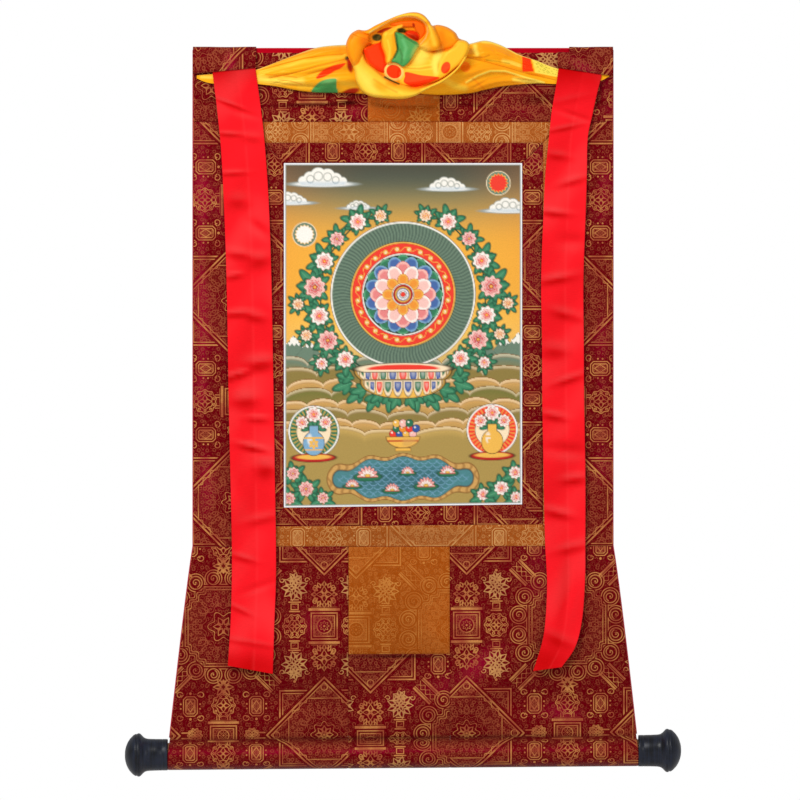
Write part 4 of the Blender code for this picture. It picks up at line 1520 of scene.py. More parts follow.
# Creases and ridges of the swag: rise, half width, points along it
SWAG_LINES = (
    (-2.2, 1.6, *LEFT_CREASE),
    (-1.4, 1.4, (-186, 30), (-158.7, 22.5), (-127.5, 14.5), (-96.3, 10.5), (-78, 9.5)),
    (1.6, 3, (-180, 26), (-150, 14), (-120, 5), (-84, 1)),
    (1.2, 2.4, (-178, 35.5), (-150, 28), (-120, 21.5), (-90, 15)),
    (-1.2, 1.3, (-165.8, 46), (-140.9, 41), (-116, 34), (-95, 28)),
    (1.4, 3.2, (-168, 44), (-146, 43.5), (-122, 45)),
    (-1, 1.2, (-150, 49), (-128, 50), (-110, 52)),
    (1.2, 4, (-100, 46), (-84, 44)),
    (-2.4, 1.7, (79.9, 12.3), (105.2, 17.2), (132.5, 25), (163.7, 33.8), (198.7, 41.6)),
    (-1.2, 1.3, (140, 22), (168, 30.5), (198.7, 37)),
    (2.2, 2.2, *RIGHT_RIDGE),
    (-1.4, 2, (92, 52), (112, 41), (134, 37.5), (156, 43.5)),
    (2.6, 6, (95, -2), (112, 0), (132, 8)),
    (-1.6, 2.4, (100, 4), (102, 14)),
    (-1, 1.6, (116, 2), (124, 12), (128, 20)),
    (1.6, 5, (58, 48), (80, 50)),
    (-1.2, 2, (152, 10.4), (156, 20), (156, 30)),
)
# Painted highlights in lemon and bright yellow, and painted shade in orange tones and along the creases, as
# soft streaks of the swag: colour, half width, softness, strength, points
SWAG_STREAKS = (
    (ORANGE, 3.4, 4, 0.85, ((-166, 18), (-135.3, 8.5), (-108, 4.2), (-74, 4.5))),
    (LEMON, 0.8, 0.9, 0.9, ((-181.5, 24), (-154.8, 13), (-135, 6), (-113.9, 0.2), (-96, -2.6), (-74, -2.6))),
    (LEMON, 2, 2.6, 0.75, ((-186, 32.5), (-158.7, 26), (-127.5, 18.5), (-96.3, 14.5), (-76, 12))),
    (BRIGHT, 3.6, 5, 0.8, ((-186, 40), (-172, 42.5), (-150, 43.5), (-132, 43))),
    (LEMON, 3, 4, 0.6, ((-134, 50), (-120, 50))),
    (ORANGE, 9, 8, 0.6, ((84, 50), (112, 50), (150, 46))),
    (WARM, 3, 4, 0.8, ((-94, 33.5), (-76, 34))),
    (LEMON, 2.6, 3.4, 0.6, ((-80, 46), (-64, 48))),
    (SILK_CREASE_SHADE, 0.5, 0.9, 0.9, LEFT_CREASE),
    (SILK_CREASE_SHADE, 0.4, 0.9, 0.7, ((-184, 28.5), (-158.7, 21.5), (-127.5, 13.8), (-96.3, 10), (-78, 9.2))),
    (SILK_CREASE_SHADE, 0.4, 0.8, 0.6, ((-124, 34), (-104, 29), (-84, 21.5), (-74, 17.5))),
    (DEEP_ORANGE, 0.5, 0.9, 0.7, ((-162.6, 41.6), (-146, 43.5), (-131.4, 47.4))),
    (DEEP_ORANGE, 0.5, 0.9, 0.7, ((-178, 35), (-156, 36.5), (-138, 38.5))),
    (ORANGE, 6, 6, 0.8, ((106, 2), (122, 5), (140, 12))),
    (BRIGHT, 2.4, 2.6, 0.9, ((93.5, -2), (93.5, 3.6), (96, 9))),
    (BRIGHT, 1.2, 1.4, 0.8, ((103, -7), (116, -6), (132, -0.6), (148, 8))),
    (BRIGHT, 2.2, 2.2, 0.8, ((130, 17.5), (142, 20.5), (151, 24))),
    (SILK_CREASE_SHADE, 0.6, 0.9, 0.8, ((81.8, 12.3), (94, 13), (105.2, 12.6), (112, 10))),
    (screen(166, 136, 28), 1, 1.2, 0.7, ((108, 16.5), (122, 18.2), (138, 21))),
    (ORANGE, 5, 6, 0.75, ((88, 33), (104, 26), (124, 25.5), (142, 31))),
    (ORANGE, 1.6, 2, 0.8, ((140, 24.5), (168, 32), (198, 38.5))),
    (SILK_CREASE_SHADE, 0.5, 0.9, 0.9, ((79.9, 12.6), (105.2, 18), (132.5, 25.6), (163.7, 34.4), (198.7, 42))),
    (BRIGHT, 0.9, 1.1, 0.9, RIGHT_RIDGE),
    (ORANGE, 3, 5, 0.7, ((98, 48), (112, 42), (132, 39))),
    (LEMON, 3.6, 3.4, 0.8, ((54, 42), (66, 49), (80, 53))),
    (BRIGHT, 2, 2.4, 0.8, ((144, 41), (160, 43.5), (178, 45.5))),
    (DEEP_ORANGE, 0.8, 1.4, 0.6, ((90, 40), (96, 45), (106, 54))),
    (BRIGHT, 1.6, 2, 0.7, ((-262, 38), (-250, 38.5), (-236, 38))),
)


def swag_places(across, share):
    """Where the swag hangs, in millimetres: across, out, down, without its creases."""
    top, bottom, puff = smooth_rows(SWAG, across).T
    arch = np.clip(np.sin(np.pi * share), 0, 1) ** 0.7
    pleat = SWAG_PLEAT_DEPTH * np.cos(FULL_TURN * SWAG_PLEATS * share + across / 60)
    return SWAG_OUT + puff * arch * (1 + pleat), mix(top, bottom, share), puff


def make_swag(finish):
    """The veil's swag, pulled out flat under the ribbons and puffed up towards the rosette."""
    columns, rows = SWAG_GRID
    across = np.linspace(SWAG[0][0], SWAG[-1][0], columns)[None, :]
    share = np.linspace(0, 1, rows)[:, None]
    out, down, puff = swag_places(across[0], share)
    across = np.broadcast_to(across, out.shape)
    loose = np.clip(puff / 6, 0, 1) * smooth(np.minimum(share, 1 - share) / 0.06 + 0.3)
    fan = np.sin((share * 9 + 0.35 * np.sin(across / 17)) * FULL_TURN) * 0.25
    fan = fan * smooth((np.abs(across) - 60) / 60)
    out = out + loose * (creased(across, down, SWAG_LINES) + fan)
    paint = veil_colours(across, down)
    # A painted highlight along the swag's top edge.
    paint.lay(1.3 - 60 * share + 0 * across, SILK_RIM_AND_HIGHLIGHT, 0.7)
    points = np.stack((across, -out, -down), -1) * MM
    laid = np.stack((across, down), -1)
    piece = cloth("veil_swag", points, laid, finish, paint.colour)
    thicken(piece, VEIL_THICK)
    settle(piece, "veil", SWAG_FLAT)


ROSETTE_MIDDLE = (-1, 9)
ROSETTE_GRID = (440, 92)
ROSETTE_OUTLINE = (
    (-66.8, -18.8), (-58.7, -23.3), (-52.7, -22.7), (-45.9, -23.4), (-35.5, -29.2), (-20.4, -36.2),
    (-6.5, -42), (6.3, -45.5), (17.9, -46), (27.2, -42.2), (34.2, -34.4), (37.9, -29),
    (45.8, -29.8), (57.4, -26.9), (67.8, -19.9), (72.7, -12.4), (82.9, -8.3), (86.4, -1.3),
    (81.2, 13.7), (69, 30), (51.6, 43.9), (34.2, 52), (16.8, 61.3), (-0.7, 66),
    (-23.9, 65), (-42.4, 62.5), (-54, 55.5), (-60.8, 42.8), (-63.3, 27.7), (-69.7, 14.9),
    (-73.5, 4.5), (-73.8, -4.8), (-71.2, -12.4),
)
RIGHT_LOBE = (
    (35.3, -29.8), (45.8, -31.8), (57.4, -28.9), (69.8, -21.9), (74.1, -10.6), (70.2, -4.8),
    (62, 0.4), (49.3, 3.5), (34.2, 3.5), (22.6, -0.2), (22.6, -9.5),
)
BOWL = (
    (17.9, -6), (34.2, 3.1), (49.3, 3.5), (63.2, -0.2), (72.5, -9.5), (83.5, -9.2), (88.2, 1.1),
    (79.1, 16.1), (64.3, 28.8), (50.4, 39.3), (29.5, 46.2), (-0.7, 48.6), (-7.6, 34.6), (-0.7, 23),
)
BULGE = (
    (-71.1, 13.7), (-54.6, 4.5), (-47.1, 18.4), (-36.6, 27.1), (-25, 37), (-12.3, 46.2),
    (1.7, 49.1), (20.2, 52.6), (46.9, 42.8), (67.8, 27.7), (82.9, 9.1), (89.9, 13.7), (57.4, 48.6),
    (11, 71.5), (-47.1, 69.1), (-70, 42.8),
)
LEFT_LOBE = (
    (-76.9, -6), (-70, -20.8), (-58.7, -26.6), (-47.1, -24.2), (-40.1, -17.6), (-40.1, -9.5),
    (-47.1, -3.1), (-51.5, 2.1), (-53.5, 9.1), (-57.5, 19.5), (-65.7, 23), (-74.6, 9.1),
)
HOLLOW = (
    (-42.4, -18.8), (-26.2, -29), (-16.9, -34.5), (-6.5, -38.3), (6.3, -40.1), (16.8, -38.5),
    (26, -33.8), (30.9, -27.5), (31.4, -20.5), (28.4, -13), (21.4, -4.8), (6.3, -11.8),
    (-7.6, -21.1), (-19.2, -21.1), (-26.2, -13), (-30.8, -7.2), (-42.4, -6),
)
WRAP = (
    (-52.9, -22.2), (-35.5, -32.9), (-20.4, -39.9), (-6.5, -45.7), (6.3, -49.2), (19.1, -49.8),
    (30.5, -45.1), (37.7, -32.7), (43.5, -21.1), (47.9, -9.5), (47.1, 1.1), (34.2, 3.3), (20.2, -2.5),
    (23.1, -4.8), (28.9, -13), (31.8, -20.5), (31.4, -28), (26, -34.3), (16.8, -39),
    (6.3, -40.6), (-6.5, -38.7), (-16.9, -35), (-26.2, -29.4), (-42.4, -19), (-47.1, -17.6),
)
RED_WALL = (
    (-51.1, -0.2), (-41.3, -3.7), (-30.8, -8.5), (-27.3, -0.2), (-23.3, 9.1), (-21, 19.5),
    (-23.9, 31.2), (-30.8, 30.6), (-40.1, 24.8), (-45.9, 18.4), (-49.4, 9.1),
)
STRIP = ((-33.7, -20.5), (-23.9, -25.5), (-12.3, -26.7), (-19.2, -22.8), (-27.3, -19.7))
PETAL = (
    (-7.6, -28.6), (-16.9, -22.5), (-23.9, -21.1), (-27.8, -14.1), (-26.9, -2.5), (-22.9, 9.1),
    (-21.5, 19.5), (-16.3, 19), (-11.1, 13.7), (-7, 4.5), (-7.6, -6), (-7.6, -17.6), (-0.7, -26.9),
)
GREEN_FOLD = (
    (-10.2, -20.5), (-0.7, -18.5), (7.5, -13.2), (20.7, -5.1), (16.2, 5.6), (8.1, 18.4), (0, 24.4),
    (-7.6, 20.1), (-15.2, 17.5), (-10.9, 10.3), (-7.4, 1), (-9.2, -9.5),
)
BALL = (
    (2.3, -21.1), (8.6, -22.8), (16.8, -21.1), (20.8, -15.9), (20.2, -11.2), (15.6, -9.5),
    (8.6, -12.7), (3.4, -17),
)
UPPER_WALL = (
    (-16.9, -30.9), (-0.7, -34.4), (16.8, -35), (26, -30.4), (28.9, -22.2), (26, -15.3),
    (20.2, -10.6), (17.9, -17.6), (14.4, -26.9), (4, -26.9), (-7.6, -28),
)
RED_BAND = (
    (4, 31.2), (22.6, 35.2), (40, 37), (47.5, 38.3), (43.5, 41), (29.5, 46.8), (16.8, 51.1),
    (8.6, 48.8), (1.1, 44.2), (2.6, 37),
)
LOWER_RIM = (
    (87, -0.6), (82.4, 12.6), (69.4, 28.2), (52.4, 42), (34.8, 50.2), (17.2, 56.8), (2.7, 61.6),
    (16.8, 62.3), (34.2, 54.2), (51.6, 46.1), (70, 31.2), (82.8, 14.9), (89, -0.2),
)
WRAP_RIDGE = (
    (-43.6, -20), (-26.5, -30), (-17, -35.6), (-6.5, -39.4), (6.3, -41.3), (16.8, -39.7),
    (26.4, -35), (31.8, -28), (32.4, -20.5), (29.4, -12.6), (23, -4.8),
)
# Painted highlights in lemon and painted shade in orange tones, as soft streaks: colour, half width,
# softness, strength, points
ROSETTE_STREAKS = (
    (LEMON, 1, 0.8, 0.9, ((4, 24.6), (20, 24.6), (37, 21.6))),
    (LEMON, 0.9, 0.8, 0.8, ((4, 28.2), (22, 28.9), (39, 27))),
    (LEMON, 2.2, 2.2, 0.9, ((41.5, 10), (41, 20), (44, 33))),
    (LEMON, 1.4, 1.6, 0.7, ((56, 8), (50, 18), (45.5, 33))),
    (LEMON, 1.4, 1.6, 0.6, ((20, 1), (30, 8), (36, 18))),
    (DEEP_ORANGE, 0.7, 1, 0.5, ((48, 9), (46, 20), (45, 30))),
    (DEEP_ORANGE, 0.6, 1, 0.5, ((6, 26.5), (22, 27), (37, 24.6))),
    (ORANGE, 1.6, 1.8, 0.6, ((10, 20), (22, 14), (34, 13))),
    (LEMON, 2.6, 3, 0.9, ((-60, 26), (-50, 40), (-40, 52), (-26, 60))),
    (LEMON, 2, 2.4, 0.8, ((-30, 43), (-14, 54), (0, 60))),
    (DEEP_ORANGE, 1, 1.8, 0.55, ((-38, 41), (-24, 50), (-8, 57.5))),
    (DEEP_ORANGE, 1.6, 2, 0.7, ((-50, 12), (-45.5, 20), (-36, 28.8), (-24, 38.5), (-10, 47.6))),
    (WARM, 2.6, 3, 0.7, ((-20, 47), (2, 53), (20, 55))),
    (LEMON, 1.5, 1.4, 0.9, ((-24, -18), (-19, -21.5), (-9, -27), (-2, -29))),
    (LEMON, 1.2, 1.2, 0.8, ((-20, -10), (-17, 2), (-18.5, 17))),
    (WARM, 2, 2, 0.8, ((-13, -16), (-12, -4), (-13, 8))),
    (DEEP_ORANGE, 2.4, 2.6, 0.6, ((-66, -14), (-58, -20), (-50, -19))),
    (ORANGE, 4, 4, 0.7, ((-64, 0), (-58, 8), (-60, 16))),
    (DEEP_ORANGE, 1.2, 1.6, 0.7, ((-46, -17), (-44, -8), (-50, 0))),
    (WARM, 3, 3, 0.8, ((-34, -27), (-16, -37), (4, -43))),
    (LEMON, 1.5, 1.5, 0.8, ((-10, -41.6), (8, -43.6), (20, -42.6), (30, -36))),
    (LEMON, 2.6, 3, 0.7, ((34, -28), (38, -16), (41, -5))),
    (ORANGE, 1.6, 2, 0.7, ((34.5, -20), (34, -8), (28, -1.5))),
    (DEEP_ORANGE, 1.2, 1.4, 0.7, ((30, 4.4), (44, 5.4), (58, 3), (68, -3))),
    (DEEP_ORANGE, 3, 4, 0.5, ((50, -20), (53, -8), (48, 1))),
    (WARM, 2.4, 2.6, 0.8, ((62, -18), (66, -10), (60, -4))),
    (LEMON, 1.1, 1.2, 0.8, ((72, -8), (64, 1.5), (56, 9))),
)
# Painted shade in dark green and a painted highlight in pale green on the green fold: colour, half width,
# softness, strength, points
GREEN_STREAKS = (
    (SILK_DARK_GREEN, 1.6, 1.6, 0.8, ((-9, -17), (-7.6, -6), (-6, 2), (-11, 12))),
    (screen(92, 182, 112), 2, 2.4, 0.9, ((0, -10), (4, 0), (1, 12))),
    (SILK_DARK_GREEN, 1.2, 1.4, 0.7, ((2, -15), (10, -9), (18, -4.4))),
    (SILK_DARK_GREEN, 1.2, 1.6, 0.6, ((-4, 2), (-1, 10), (-2, 19))),
)


def as_seen(across, down, out):
    """Places that stand out from the mount, drawn in so that the camera sees them where given."""
    middle_across, distance, middle_down = np.array(CAMERA_AT) / MM
    nearer = 1 + out / distance
    seen_across = middle_across + (across - middle_across) * nearer
    return np.stack((seen_across, -out, middle_down - (down + middle_down) * nearer), -1) * MM


# How softly a fold's edge stands over the fold behind it
FOLD_EDGE = 3.2


class Folds(Paint):
    """Cloth seen from the front, fold over fold: how far out each place is, and its dye with painted shade
    and highlights.
    """

    def __init__(self, x, y, ground, out):
        super().__init__(x, y, ground)
        self.out = np.zeros(x.shape) + out

    def fold(self, ends, colour, out, puff, width, lean=(0, 0), shade=0, edge=0.8):
        """A fold whose edge stands at out and which swells by puff within width of its edge."""
        ends = curve(ends)
        inside = within(self.x, self.y, ends)
        middle = ends.mean(0)
        swell = puff * np.sqrt(1 - (1 - np.clip(inside / width, 0, 1)) ** 2)
        height = out + swell + lean[0] * (self.x - middle[0]) + lean[1] * (self.y - middle[1])
        # shade paints a painted shadow in deep orange along the fold's edge and just outside it.
        if shade:
            self.lay(inside + 1.6, DEEP_ORANGE, 1.8, shade * 0.8)
        self.out += (height - self.out) * smooth(0.5 + inside / FOLD_EDGE)
        self.lay(inside, colour, edge)


def curve(ends, steps=5):
    """A closed smooth curve through points."""
    ends = np.array(ends, float)
    share = np.linspace(0, 1, steps, endpoint=False)[:, None]
    run = []
    for p, a, b, n in zip(np.roll(ends, 1, 0), ends, np.roll(ends, -1, 0), np.roll(ends, -2, 0)):
        cubic = 2 * p - 5 * a + 4 * b - n + share * (3 * (a - b) + n - p)
        run.append(a + 0.5 * share * (b - p + share * cubic))
    return np.concatenate(run)


def rosette_folds(x, y):
    """The rosette's folds as they lie one over another, back to front."""
    silk = Folds(x, y, ORANGE, 30)
    silk.fold(RIGHT_LOBE, ORANGE, 30, 9, 14, (0.05, -0.12), edge=2)
    silk.fold(BOWL, mix(SILK, LEMON, 0.3), 34, 4, 5, (0.14, 0.12), 0.5, 1.6)
    silk.fold(BULGE, mix(SILK, LEMON, 0.75), 34.5, 12.5, 13, (0.075, 0), 0.22, 1.2)
    silk.fold(RED_WALL, SILK_RED, 33, 3, 6, (-0.3, 0))
    silk.fold(LEFT_LOBE, ORANGE, 36, 11, 14, edge=2.2)
    silk.lay(silk.oval(-48, -9, 9, 7), screen(250, 104, 6), 5, 0.8)
    silk.fold(HOLLOW, ORANGE, 37, -5, 9)
    silk.fold(UPPER_WALL, screen(250, 100, 8), 36, 1, 5, (0.1, -0.3))
    silk.fold(STRIP, SILK_DARK_RED, 34, 0, 3)
    silk.fold(BALL, screen(226, 48, 12), 27, 8, 7)
    # Painted shade: dark red on the lower side of the ball's hollow.
    silk.lay(silk.oval(15.5, -13, 6.5, 3.6, 35), SILK_DARK_RED, 2, 0.9)
    silk.fold(WRAP, WARM, 42, 8, 8, shade=0.3, edge=1.4)
    silk.fold(PETAL, mix(SILK, LEMON, 0.3), 35, 6, 6, shade=0.5)
    silk.fold(GREEN_FOLD, SILK_GREEN, 37, 3, 5, (0.1, 0.05), 0.4)
    # Painted shadow: near-black spots in the deepest hollows, and a small dark red one.
    silk.lay(silk.oval(-33.7, -13.6, 6.6, 4.8), SILK_NEAR_BLACK, 1.4)
    silk.lay(silk.oval(-1.8, -22.8, 6.4, 3.4, 8), SILK_NEAR_BLACK, 1.2)
    silk.lay(silk.oval(13.9, -30, 1.5, 2.8, -20), SILK_DARK_RED, 0.8)
    # A painted highlight: a pale lemon band along the rolled lower rim.
    silk.lay(within(x, y, curve(LOWER_RIM)), LEMON, 1.4)
    silk.streaks(ROSETTE_STREAKS + GREEN_STREAKS)
    # Painted highlights on the bowl and the bulge, and painted shade in warm orange on the bulge below them.
    silk.lay(silk.oval(23, 9, 9, 14, 24), BRIGHT, 6, 0.75)
    silk.lay(silk.oval(44, 13, 4.4, 12, 24), BRIGHT, 3, 0.9)
    silk.lay(silk.oval(42, 27, 3, 8, -4), BRIGHT, 2.4, 0.8)
    silk.lay(silk.oval(-47, 44, 7, 20, -36), BRIGHT, 6, 0.6)
    silk.lay(silk.oval(-30, 50, 9, 5, 30), WARM, 4, 0.7)
    # A painted highlight along the ridge of the wrap.
    silk.trace(WRAP_RIDGE, 0.9, SILK_RIM_AND_HIGHLIGHT, 0.9)
    silk.shape(within(x, y, curve(RED_BAND)), SILK_RED)
    silk.shape(silk.oval(55.6, 25.6, 5.6, 8, 25), SILK_RED)
    disc = silk.oval(-11.7, 30.8, 13.2, 11.4, 25)
    silk.out += 1.6 * smooth(disc / 2)
    silk.shape(disc - 2.7, SILK_RED, SILK_RIM_AND_HIGHLIGHT, 2.7)
    silk.trace(((-23.9, 38.1), (-14, 43), (-5.3, 46.8)), 1.2, SILK_NEAR_BLACK)
    return silk


ROSETTE_EDGE = 5
ROSETTE_EDGE_DROP = 9
ROSETTE_BACK_ROWS = 16
ROSETTE_BACK_OUT = 8


def make_rosette(finish):
    """The veil's rosette, its folds turned under all round to the cloth behind it."""
    columns, rows = ROSETTE_GRID
    outline = curve(ROSETTE_OUTLINE, 12)
    run = np.concatenate([[0], np.cumsum(np.hypot(*np.diff(outline, axis=0).T))])
    places = np.linspace(0, run[-1], columns)
    around = np.stack([np.interp(places, run, side) for side in outline.T], -1)
    around[-1] = around[0]
    middle = np.array(ROSETTE_MIDDLE)
    share = np.linspace(0.001, 1, rows)[:, None, None]
    spread = middle + (around - middle) * share
    silk = rosette_folds(spread[..., 0], spread[..., 1])
    inside = np.clip(within(spread[..., 0], spread[..., 1], outline) / ROSETTE_EDGE, 0, 1)
    out = silk.out - ROSETTE_EDGE_DROP * (1 - np.sqrt(1 - (1 - inside) ** 2))
    back = np.linspace(0, 1, ROSETTE_BACK_ROWS + 1)[1:, None]
    ripple = np.sin(places * 0.21) + 0.6 * np.sin(places * 0.47 + 1)
    drawn = 1 - 0.26 * back**1.6 + 0.012 * ripple * np.sin(math.pi * back)
    behind = middle + (around - middle) * drawn[..., None]
    fallen = mix(out[-1], ROSETTE_BACK_OUT, back**0.8) + 1.2 * ripple * np.sin(math.pi * back)
    across = np.concatenate([spread[..., 0], behind[..., 0]])
    down = np.concatenate([spread[..., 1], behind[..., 1]])
    out = np.concatenate([out, fallen])
    # Painted shade: the cloth turned under behind the rosette darkens towards deep orange.
    painted_shade_behind = mix(silk.colour[-1], DEEP_ORANGE, 0.5 * back[..., None])
    dye_and_painted_light = np.concatenate([silk.colour, painted_shade_behind])
    points = as_seen(across, down, out)
    row = np.arange(len(points))[:, None]
    laid = np.stack(np.broadcast_arrays(places, row * 0.9), -1)
    piece = cloth("veil_rosette", points, laid, finish, dye_and_painted_light)
    thicken(piece, VEIL_THICK)
    settle(piece, None, ROSETTE_FLAT)


# ---------------------------------------------------------------- the painting

# Bare canvas at the painting's edges, and how far it lies behind the borders' faces
MARGIN = 2
CANVAS_BEHIND = 0.25
CANVAS_STEP = 1.21
PAINTING_WHITE = screen(236, 236, 240)
PAINTS = {
    "white": screen(246, 242, 232),
    "cream": screen(250, 226, 188),
    "blush": screen(246, 186, 176),
    "pink": screen(228, 120, 122),
    "red": screen(238, 58, 48),
    "crimson": screen(186, 26, 34),
    "orange": screen(238, 140, 50),
    "gold": screen(240, 184, 82),
    "ochre": screen(208, 160, 92),
    "brown": screen(124, 78, 34),
    "ink": screen(44, 34, 26),
    "olive": screen(140, 122, 66),
    "moss": screen(116, 116, 58),
    "grass": screen(196, 162, 90),
    "leaf": screen(24, 112, 82),
    "leaf_pale": screen(86, 164, 122),
    "leaf_dark": screen(8, 66, 52),
    "sage": screen(104, 130, 112),
    "sage_dark": screen(66, 92, 82),
    "blue": screen(44, 84, 156),
    "sky_blue": screen(126, 172, 204),
    "pond": screen(70, 132, 138),
    "pond_dark": screen(36, 92, 106),
    "smoke": screen(150, 156, 148),
}
# Distance down the painting, then the ground's colour on a screen
SKY = (
    (0, 66, 70, 62),
    (22, 84, 90, 76),
    (48, 146, 130, 84),
    (74, 206, 158, 76),
    (104, 238, 174, 66),
    (170, 242, 180, 68),
    (214, 246, 196, 92),
    (250, 220, 182, 104),
    (300, 160, 146, 76),
    (360, 140, 134, 70),
    (446, 192, 154, 84),
)
WHEEL_DOWN = 170
WHEEL_RADIUS = 94
# Rings of the wheel's middle: radius, colour
WHEEL_HUB = (
    (14, "white"), (12.6, "crimson"), (10, "gold"), (8, "blue"), (4.4, "white"), (3, "red"),
)
HORIZON = 244
# Far peaks: across, size
PEAKS = ((-142, 24), (-122, 17), (132, 21), (150, 26), (108, 13), (-98, 12))
# Rolling ground: down, wave length, height, shift, colour
RIDGES = (
    (262, 58, 13, 8, "sage"),
    (276, 72, 12, 40, "olive"),
    (290, 46, 9, 12, "ochre"),
    (302, 60, 10, 33, "moss"),
    (315, 40, 8, 5, "ochre"),
    (327, 52, 9, 20, "olive"),
    (339, 36, 7, 30, "ochre"),
    (350, 64, 8, 50, "grass"),
)
# Clouds: across, down, size
CLOUDS = (
    (-104, 22, 15), (-146, 48, 10), (58, 30, 11), (138, 58, 12), (-58, 56, 7),
)
CLOUD_LOBES = (
    (-1.7, 0.1, 0.42), (-1.1, -0.16, 0.56), (-0.4, -0.4, 0.66), (0.4, -0.34, 0.62), (1.1, -0.08, 0.52),
    (1.7, 0.12, 0.36),
)
# Rows of a flower's petals, from the outside: how many, how far they reach
BLOOM_ROWS = ((9, 1), (7, 0.68), (5, 0.38))
WHITE_BLOOM = ("white", "blush", "red")
PINK_BLOOM = ("blush", "pink", "crimson")
YELLOW_BLOOM = ("cream", "gold", "orange")
# Flowers of the garland: direction from the wheel's middle, distance from it, size, petals' colours
GARLAND = (
    (-74, 106, 7.5, YELLOW_BLOOM),
    (-58, 111, 10.5, WHITE_BLOOM),
    (-40, 112, 9, PINK_BLOOM),
    (-23, 111, 11.5, WHITE_BLOOM),
    (-5, 115, 13.5, PINK_BLOOM),
    (14, 112, 11.5, WHITE_BLOOM),
    (31, 114, 12.5, PINK_BLOOM),
    (48, 112, 10.5, WHITE_BLOOM),
    (5, 137, 7, YELLOW_BLOOM),
    (22.5, 136, 7, YELLOW_BLOOM),
    (40, 138, 7.5, WHITE_BLOOM),
)
# How far from the wheel's middle the garland's stalk runs
STALK_REACH = 108
# Leaves round a flower of the garland: direction from the flower's own, length in its sizes
GARLAND_LEAVES = (
    (-86, 1.9), (86, 1.9), (-44, 2.1), (44, 2.1), (0, 1.7), (-140, 1.6), (140, 1.6),
)
# Big leaves under the lappets: across from the middle, down, length, direction
LOW_LEAVES = (
    (16, 298, 24, 84), (34, 298, 25, 62), (52, 292, 26, 40), (66, 284, 26, 18),
    (26, 296, 20, 40), (46, 292, 22, 12), (64, 278, 22, -12), (6, 300, 20, 64),
)
POND = (0, 408, 84, 26)
# Flowers in the lower corners: across, down, size
CORNER_BLOOMS = (
    (-143, 400, 8), (-126, 420, 9.5), (-104, 432, 7), (-148, 432, 7.5), (104, 430, 7.5),
    (128, 422, 9), (146, 402, 8), (147, 434, 7),
)
# Pond lilies: across, down, size
LILIES = (
    (-46, 400, 11), (30, 414, 9.5), (58, 398, 8), (-14, 420, 7.5), (-66, 414, 7),
    (6, 398, 6.5),
)
# Rows of a lily's petals: how many, reach in its sizes, colour, colour inside, shift
LILY_ROWS = ((14, 1.2, "blush", "pink", 0.5), (12, 0.85, "white", "blush", 0))


def petals(away, turn, count, low, high, shift=0):
    """How far inside one of a ring of pointed petals each place lies."""
    share = np.clip((away - low) / (high - low), 0, 1)
    aside = np.abs((turn * count / FULL_TURN + shift) % 1 - 0.5) * 2
    half = np.sin(np.pi * (0.16 + 0.84 * share)) ** 0.6
    return np.minimum(np.minimum((half - aside) * away * np.pi / count, high - away), away - low)


